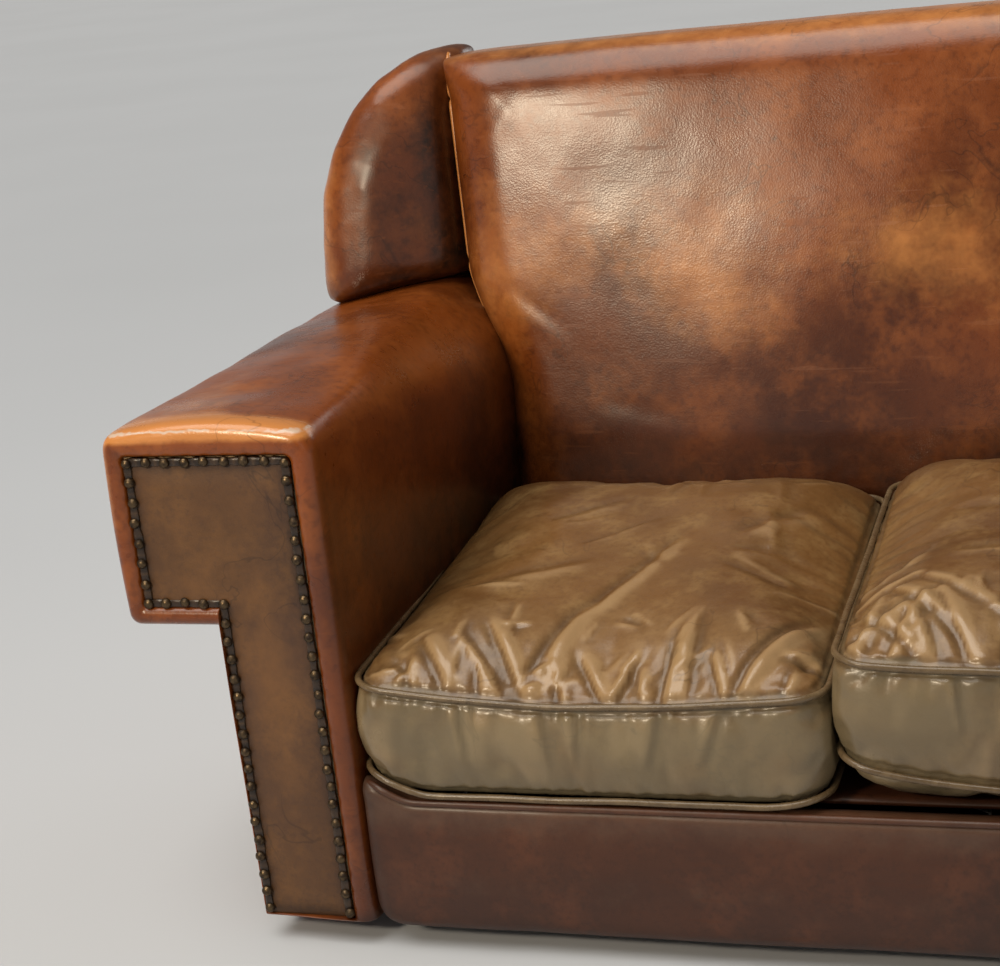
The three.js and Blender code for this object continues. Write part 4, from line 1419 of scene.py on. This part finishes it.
def fold_cushion(piece, cushion):
    """Works folds, seam grooves and unevenness into a cushion, flattens its sides and paints its wear, with
    painted shade in its fold hollows, along its seams and low on its sides, and painted highlights on its
    fold ridges and the front of its top.
    """
    places, normals = read(piece)
    strength = bpy.context.scene.sofa_sizes.creasing
    depth = places[:, 1] - FRONT
    flat_top = np.column_stack([places[:, 0], depth])
    up = smooth(normals[:, 2], 0.15, 0.6)
    ahead = smooth(-normals[:, 1], 0.35, 0.8)
    folds = up * sum(crease(flat_top, *fold) for fold in cushion.folds)
    wide = cushion.x1 - cushion.x0
    for share_across, lean, size in BOXING_FOLDS:
        x = cushion.x0 + wide * (share_across if cushion.place != "right" else 1.0 - share_across)
        start = (x, float(cushion.top_seam(x, cushion.front)) - 2.0)
        folds += ahead * crease(places[:, [0, 2]], start, (x + wide * lean, start[1] - 78.0), size, 2.6)
    seam_gap = seam_gaps(cushion, places)
    groove = -2.6 * hill(seam_gap, 7.5, 3.2)
    gathers = 1.5 * lumps(places * (1.0, 0.25, 0.25), 17.0, 81 + cushion.seed) * hill(seam_gap, 16.0, 14.0)
    soft = 2.4 * lumps(places, 170.0, 84 + cushion.seed) + 0.9 * lumps(places, 52.0, 87 + cushion.seed)
    soft *= smooth(seam_gap, 10.0, 60.0)
    shift = strength * folds * smooth(seam_gap, 2.0, 18.0) + groove + gathers * ahead + soft
    shift *= smooth(places[:, 2], cushion.bottom - 1.0, cushion.bottom + 12.0)
    moved = places + normals * shift[:, None]
    moved[:, 2] = np.maximum(moved[:, 2], SEAT_TOP + 0.4)
    pressed = np.clip(moved[:, 0], cushion.x0 - 1.0, cushion.x1 + 1.0)
    moved[:, 0] = pressed + 0.1 * (moved[:, 0] - pressed)
    put(piece, moved)
    # Painted shade: darker in the fold hollows, along the seams and low on the sides.
    hollows = np.clip(-folds / 3.0, 0.0, 1.0)
    shade_and_dirt = 0.5 * hollows + 0.5 * hill(seam_gap, 6.0, 4.0) + 0.55 * (1.0 - smooth(places[:, 2], 190, 235))
    side = 1.0 - smooth(normals[:, 2], 0.2, 0.75)
    streaks = np.clip(lumps(places * (1.0, 0.4, 0.35), 44.0, 90 + cushion.seed), 0, 1)
    # Lighter on the fold ridges and the front of the top, painted highlights; the lighter streaks on the
    # sides are the leather's own.
    rub_and_highlight_amount = 0.5 * np.clip(folds / 2.0, 0, 1) + 0.34 * up * hill(depth, 60.0, 120.0) + 0.8 * side * streaks
    boxing = side * smooth(seam_gap, 0.0, 3.0)
    paint(piece, rub=np.clip(rub_and_highlight_amount, 0, 1), grime=np.clip(shade_and_dirt, 0, 1), boxing=boxing)


def cushion_leather(colours):
    """The cushions' faded leather: browner on top, greener and greyer round the sides."""
    dark, base, light = colours.cushion_dark, colours.cushion, colours.cushion_light
    # The rubbed tone also paints highlights and the grime tone also paints shade.
    made = leather(
        "cushion leather",
        [tuple(dark), tuple(base), tuple(light), linear(164, 134, 96), linear(36, 24, 14)],
        scale=3.4, grain=360.0, gloss=0.34, coat=0.3, creases=0.3,
    )
    tree = made.node_tree
    shader = tree.nodes["Principled BSDF"]
    colour = shader.inputs["Base Color"].links[0].from_socket
    place = node(tree, "ShaderNodeTexCoord").outputs["Object"]
    patch = noise(tree, place, 9.0, 3.0)
    share_side = maths(tree, "MULTIPLY", attribute(tree, "boxing"), ramp(tree, patch, 0.25, 0.6, 0.6, 0.95))
    greyed = blend(tree, 0.75, colour, tuple(colours.boxing))
    tree.links.new(blend(tree, share_side, colour, greyed), shader.inputs["Base Color"])
    return made


class SOFA_OT_cushions(bpy.types.Operator):
    """The three loose seat cushions and their piping"""

    bl_idname = "sofa.cushions"
    bl_label = "Seat cushions"

    def execute(self, context):
        radius = context.scene.sofa_sizes.piping / MM
        for place in ("left", "middle", "right"):
            cushion = Cushion(place)
            piece = closed_skin(cushion.skin(), place + "_cushion_leather")
            remesh(piece, 8.0, rounds=2)
            plump(piece, cushion)
            subdivide(piece)
            apply_modifiers(piece)
            fold_cushion(piece, cushion)
            settle(piece, finish("cushion leather"), [place + "_seat_cushion"])
            cords = []
            for seam in (cushion.top_seam, cushion.low_seam):
                ring = cushion.plan(1.5, 46)[:-1]
                wobble = 1.2 * lumps(np.column_stack([ring, ring[:, 0] * 0]), 120.0, 95 + cushion.seed)
                line = np.column_stack([ring, seam(ring[:, 0], ring[:, 1]) + wobble])
                cords.append(tube(line, radius, place + "_piping", closed=True))
            piping = joined(cords, place + "_cushion_piping")
            paint(piping, rub=0.35, grime=0.0, boxing=0.0)
            subdivide(piping)
            settle(piping, finish("piping leather"))
        return {"FINISHED"}


class SOFA_OT_finishes(bpy.types.Operator):
    """The leathers, woods, metals and cloths, and the finish of the frame's own parts"""

    bl_idname = "sofa.finishes"
    bl_label = "Finishes"

    def execute(self, context):
        colours = context.scene.sofa_colours
        for build in (build_grain_group, build_patina_group, build_scratch_group, build_crackle_group):
            build()
        shade_and_grime_tone = tuple(colours.cover_shade_and_grime)
        cover = [tuple(colours.cover_dark), tuple(colours.cover), tuple(colours.cover_light)]
        # The edge colour is a pale cracked line along the arms' crest, partly a painted highlight.
        leather("cover leather", [*cover, tuple(colours.cover_rubbed_and_lit), shade_and_grime_tone], edge=linear(200, 176, 158))
        facing = [tuple(colours.facing_dark), tuple(colours.facing), linear(118, 80, 40)]
        leather("facing leather", [*facing, linear(124, 84, 44), shade_and_grime_tone], scale=4.5, gloss=0.45, coat=0.12)
        rail = [tuple(colours.rail_dark), tuple(colours.rail), linear(98, 54, 30)]
        leather("rail leather", [*rail, linear(94, 70, 54), shade_and_grime_tone], scale=3.0, gloss=0.46, coat=0.1)
        strip = [linear(34, 23, 14), linear(58, 39, 24), linear(80, 58, 36)]
        leather("strip leather", [*strip, linear(104, 80, 52), linear(18, 11, 6)], scale=20.0, coat=0.1)
        cord = tuple(colours.piping)
        piping = [linear(66, 50, 34), cord, linear(124, 104, 76)]
        leather("piping leather", [*piping, linear(132, 112, 82), linear(30, 20, 12)], scale=9.0, coat=0.15)
        cushion_leather(colours)
        metal("nail bronze", tuple(colours.bronze), linear(48, 38, 30), 0.3)
        metal("spring steel", linear(150, 148, 144), linear(96, 74, 58), 0.35)
        wood("frame wood", tuple(colours.beech), linear(140, 100, 62))
        wood("foot wood", linear(64, 40, 26), linear(34, 20, 12))
        woven("webbing", linear(178, 152, 112), linear(116, 92, 62), 0.0032)
        woven("dust cloth", linear(58, 54, 50), linear(30, 28, 26), 0.0014)
        self.frame_parts()
        return {"FINISHED"}

    def frame_parts(self):
        """Every part that the frame brings keeps its shape; those in the wood, steel, webbing and dust cloth
        slots get a finish by their slot.
        """
        finishes = {
            "frame_wood": "frame wood",
            "foot_wood": "foot wood",
            "spring_steel": "spring steel",
            "webbing": "webbing",
            "dust_cloth": "dust cloth",
        }
        for material in frame["record"]["materials"]:
            for name in material.get("nodes", []):
                if material["slot"] in finishes:
                    mesh = frame["nodes"][name].data
                    mesh.materials.clear()
                    mesh.materials.append(finish(finishes[material["slot"]]))


def aimed(light, target):
    """Turns a light to face a point."""
    away = Vector(light.location) - Vector(target)
    light.rotation_euler = away.to_track_quat("Z", "Y").to_euler()


def softbox(name, place, target, size, power, warmth):
    """A rectangular studio light."""
    lamp = bpy.data.lights.new(name, "AREA")
    lamp.shape = "RECTANGLE"
    lamp.size, lamp.size_y = size
    lamp.energy = power
    lamp.spread = math.radians(110.0)
    lamp.color = warmth
    light = bpy.data.objects.new(name, lamp)
    light.location = place
    bpy.context.scene.collection.objects.link(light)
    aimed(light, target)


FLOOR_REACH = 150.0  # metres from the middle, so that its edge is lost in the horizon
CAMERA_PLACE = (0.045, -2.302, 1.166)
CAMERA_YAW = math.radians(17.25)
CAMERA_PITCH = math.radians(17.2)
CAMERA_ROLL = math.radians(-5.8)
CAMERA_LENS = 72.2
CAMERA_SHIFT = -0.054


class SOFA_OT_stage(bpy.types.Operator):
    """The pale floor, the soft studio lights and the camera"""

    bl_idname = "sofa.stage"
    bl_label = "Stage"

    def execute(self, context):
        scene = context.scene
        scene.view_settings.view_transform = "Standard"
        floor_maker = bmesh.new()
        bmesh.ops.create_grid(floor_maker, x_segments=8, y_segments=8, size=FLOOR_REACH)
        floor = finished(floor_maker, "studio_floor")
        floor.data.materials.append(pale_surface("studio floor", (0.53, 0.555, 0.60)))
        self.world(scene)
        softbox("window", (-1.7, -2.7, 1.75), (-0.45, 0.2, 0.72), (0.42, 0.32), 15.0, (1.0, 0.84, 0.62))
        softbox("front fill", (1.5, -3.6, 2.0), (-0.1, 0.0, 0.4), (2.2, 1.6), 2.0, (1.0, 0.96, 0.9))
        softbox("behind", (1.2, 3.6, 2.4), (0.0, 0.2, 0.5), (2.4, 1.6), 14.0, (1.0, 0.98, 0.96))
        self.skylight(scene)
        self.camera(scene)
        return {"FINISHED"}

    def skylight(self, scene):
        """Broad even light from above, a little from the front left."""
        lamp = bpy.data.lights.new("skylight", "SUN")
        lamp.energy = 2.6
        lamp.angle = math.radians(50.0)
        lamp.color = (1.0, 0.95, 0.86)
        light = bpy.data.objects.new("skylight", lamp)
        light.location = (-0.9, -0.9, 3.6)
        scene.collection.objects.link(light)
        aimed(light, (0.0, 0.0, 0.0))

    def world(self, scene):
        """A pale horizon that fades to a darker surround above, so that hollows stay dark."""
        world = bpy.data.worlds.new("studio")
        world.use_nodes = True
        tree = world.node_tree
        sky = node(tree, "ShaderNodeTexCoord").outputs["Generated"]
        up = node(tree, "ShaderNodeSeparateXYZ", (), Vector=sky).outputs[2]
        tone = blend(tree, ramp(tree, up, 0.0, 0.2), (0.5, 0.5, 0.5), (0.15, 0.143, 0.132))
        tree.links.new(tone, tree.nodes["Background"].inputs[0])
        tree.nodes["Background"].inputs[1].default_value = 1.0
        scene.world = world

    def camera(self, scene):
        """A camera in front of the seat, turned to the left arm."""
        right = Vector((math.cos(CAMERA_YAW), math.sin(CAMERA_YAW), 0.0))
        level = Vector((-math.sin(CAMERA_YAW), math.cos(CAMERA_YAW), 0.0))
        ahead = level * math.cos(CAMERA_PITCH) - Vector((0, 0, math.sin(CAMERA_PITCH)))
        up = right.cross(ahead)
        rolled = right * math.cos(CAMERA_ROLL) + up * math.sin(CAMERA_ROLL)
        raised = up * math.cos(CAMERA_ROLL) - right * math.sin(CAMERA_ROLL)
        lens = bpy.data.cameras.new("camera")
        lens.lens = CAMERA_LENS
        lens.shift_x = CAMERA_SHIFT
        camera = bpy.data.objects.new("camera", lens)
        turned = Matrix((rolled, raised, -ahead)).transposed().to_4x4()
        camera.matrix_world = Matrix.Translation(CAMERA_PLACE) @ turned
        scene.collection.objects.link(camera)
        scene.camera = camera


class SOFA_PT_panel(bpy.types.Panel):
    """The sofa's sizes, colours and steps"""

    bl_idname = "SOFA_PT_panel"
    bl_label = "Worn leather sofa"
    bl_space_type = "VIEW_3D"
    bl_region_type = "UI"
    bl_category = "Sofa"

    def draw(self, context):
        for group in (context.scene.sofa_sizes, context.scene.sofa_colours):
            box = self.layout.box()
            for name in group.__annotations__:
                box.prop(group, name)
        for step in STEPS:
            self.layout.operator(step.bl_idname)


STEPS = (
    SOFA_OT_finishes,
    SOFA_OT_cushions,
    SOFA_OT_arms,
    SOFA_OT_wings,
    SOFA_OT_inside_back,
    SOFA_OT_outside_back,
    SOFA_OT_front_rail,
    SOFA_OT_stage,
)
CLASSES = (SofaSizes, SofaColours, *STEPS, SOFA_PT_panel)


def register():
    for item in CLASSES:
        bpy.utils.register_class(item)
    bpy.types.Scene.sofa_sizes = bpy.props.PointerProperty(type=SofaSizes)
    bpy.types.Scene.sofa_colours = bpy.props.PointerProperty(type=SofaColours)


def unregister():
    del bpy.types.Scene.sofa_colours
    del bpy.types.Scene.sofa_sizes
    for item in reversed(CLASSES):
        bpy.utils.unregister_class(item)


def main():
    """Builds the whole sofa round its frame."""
    register()
    for step in STEPS:
        area, name = step.bl_idname.split(".")
        getattr(getattr(bpy.ops, area), name)()


if __name__ == "__main__":
    main()
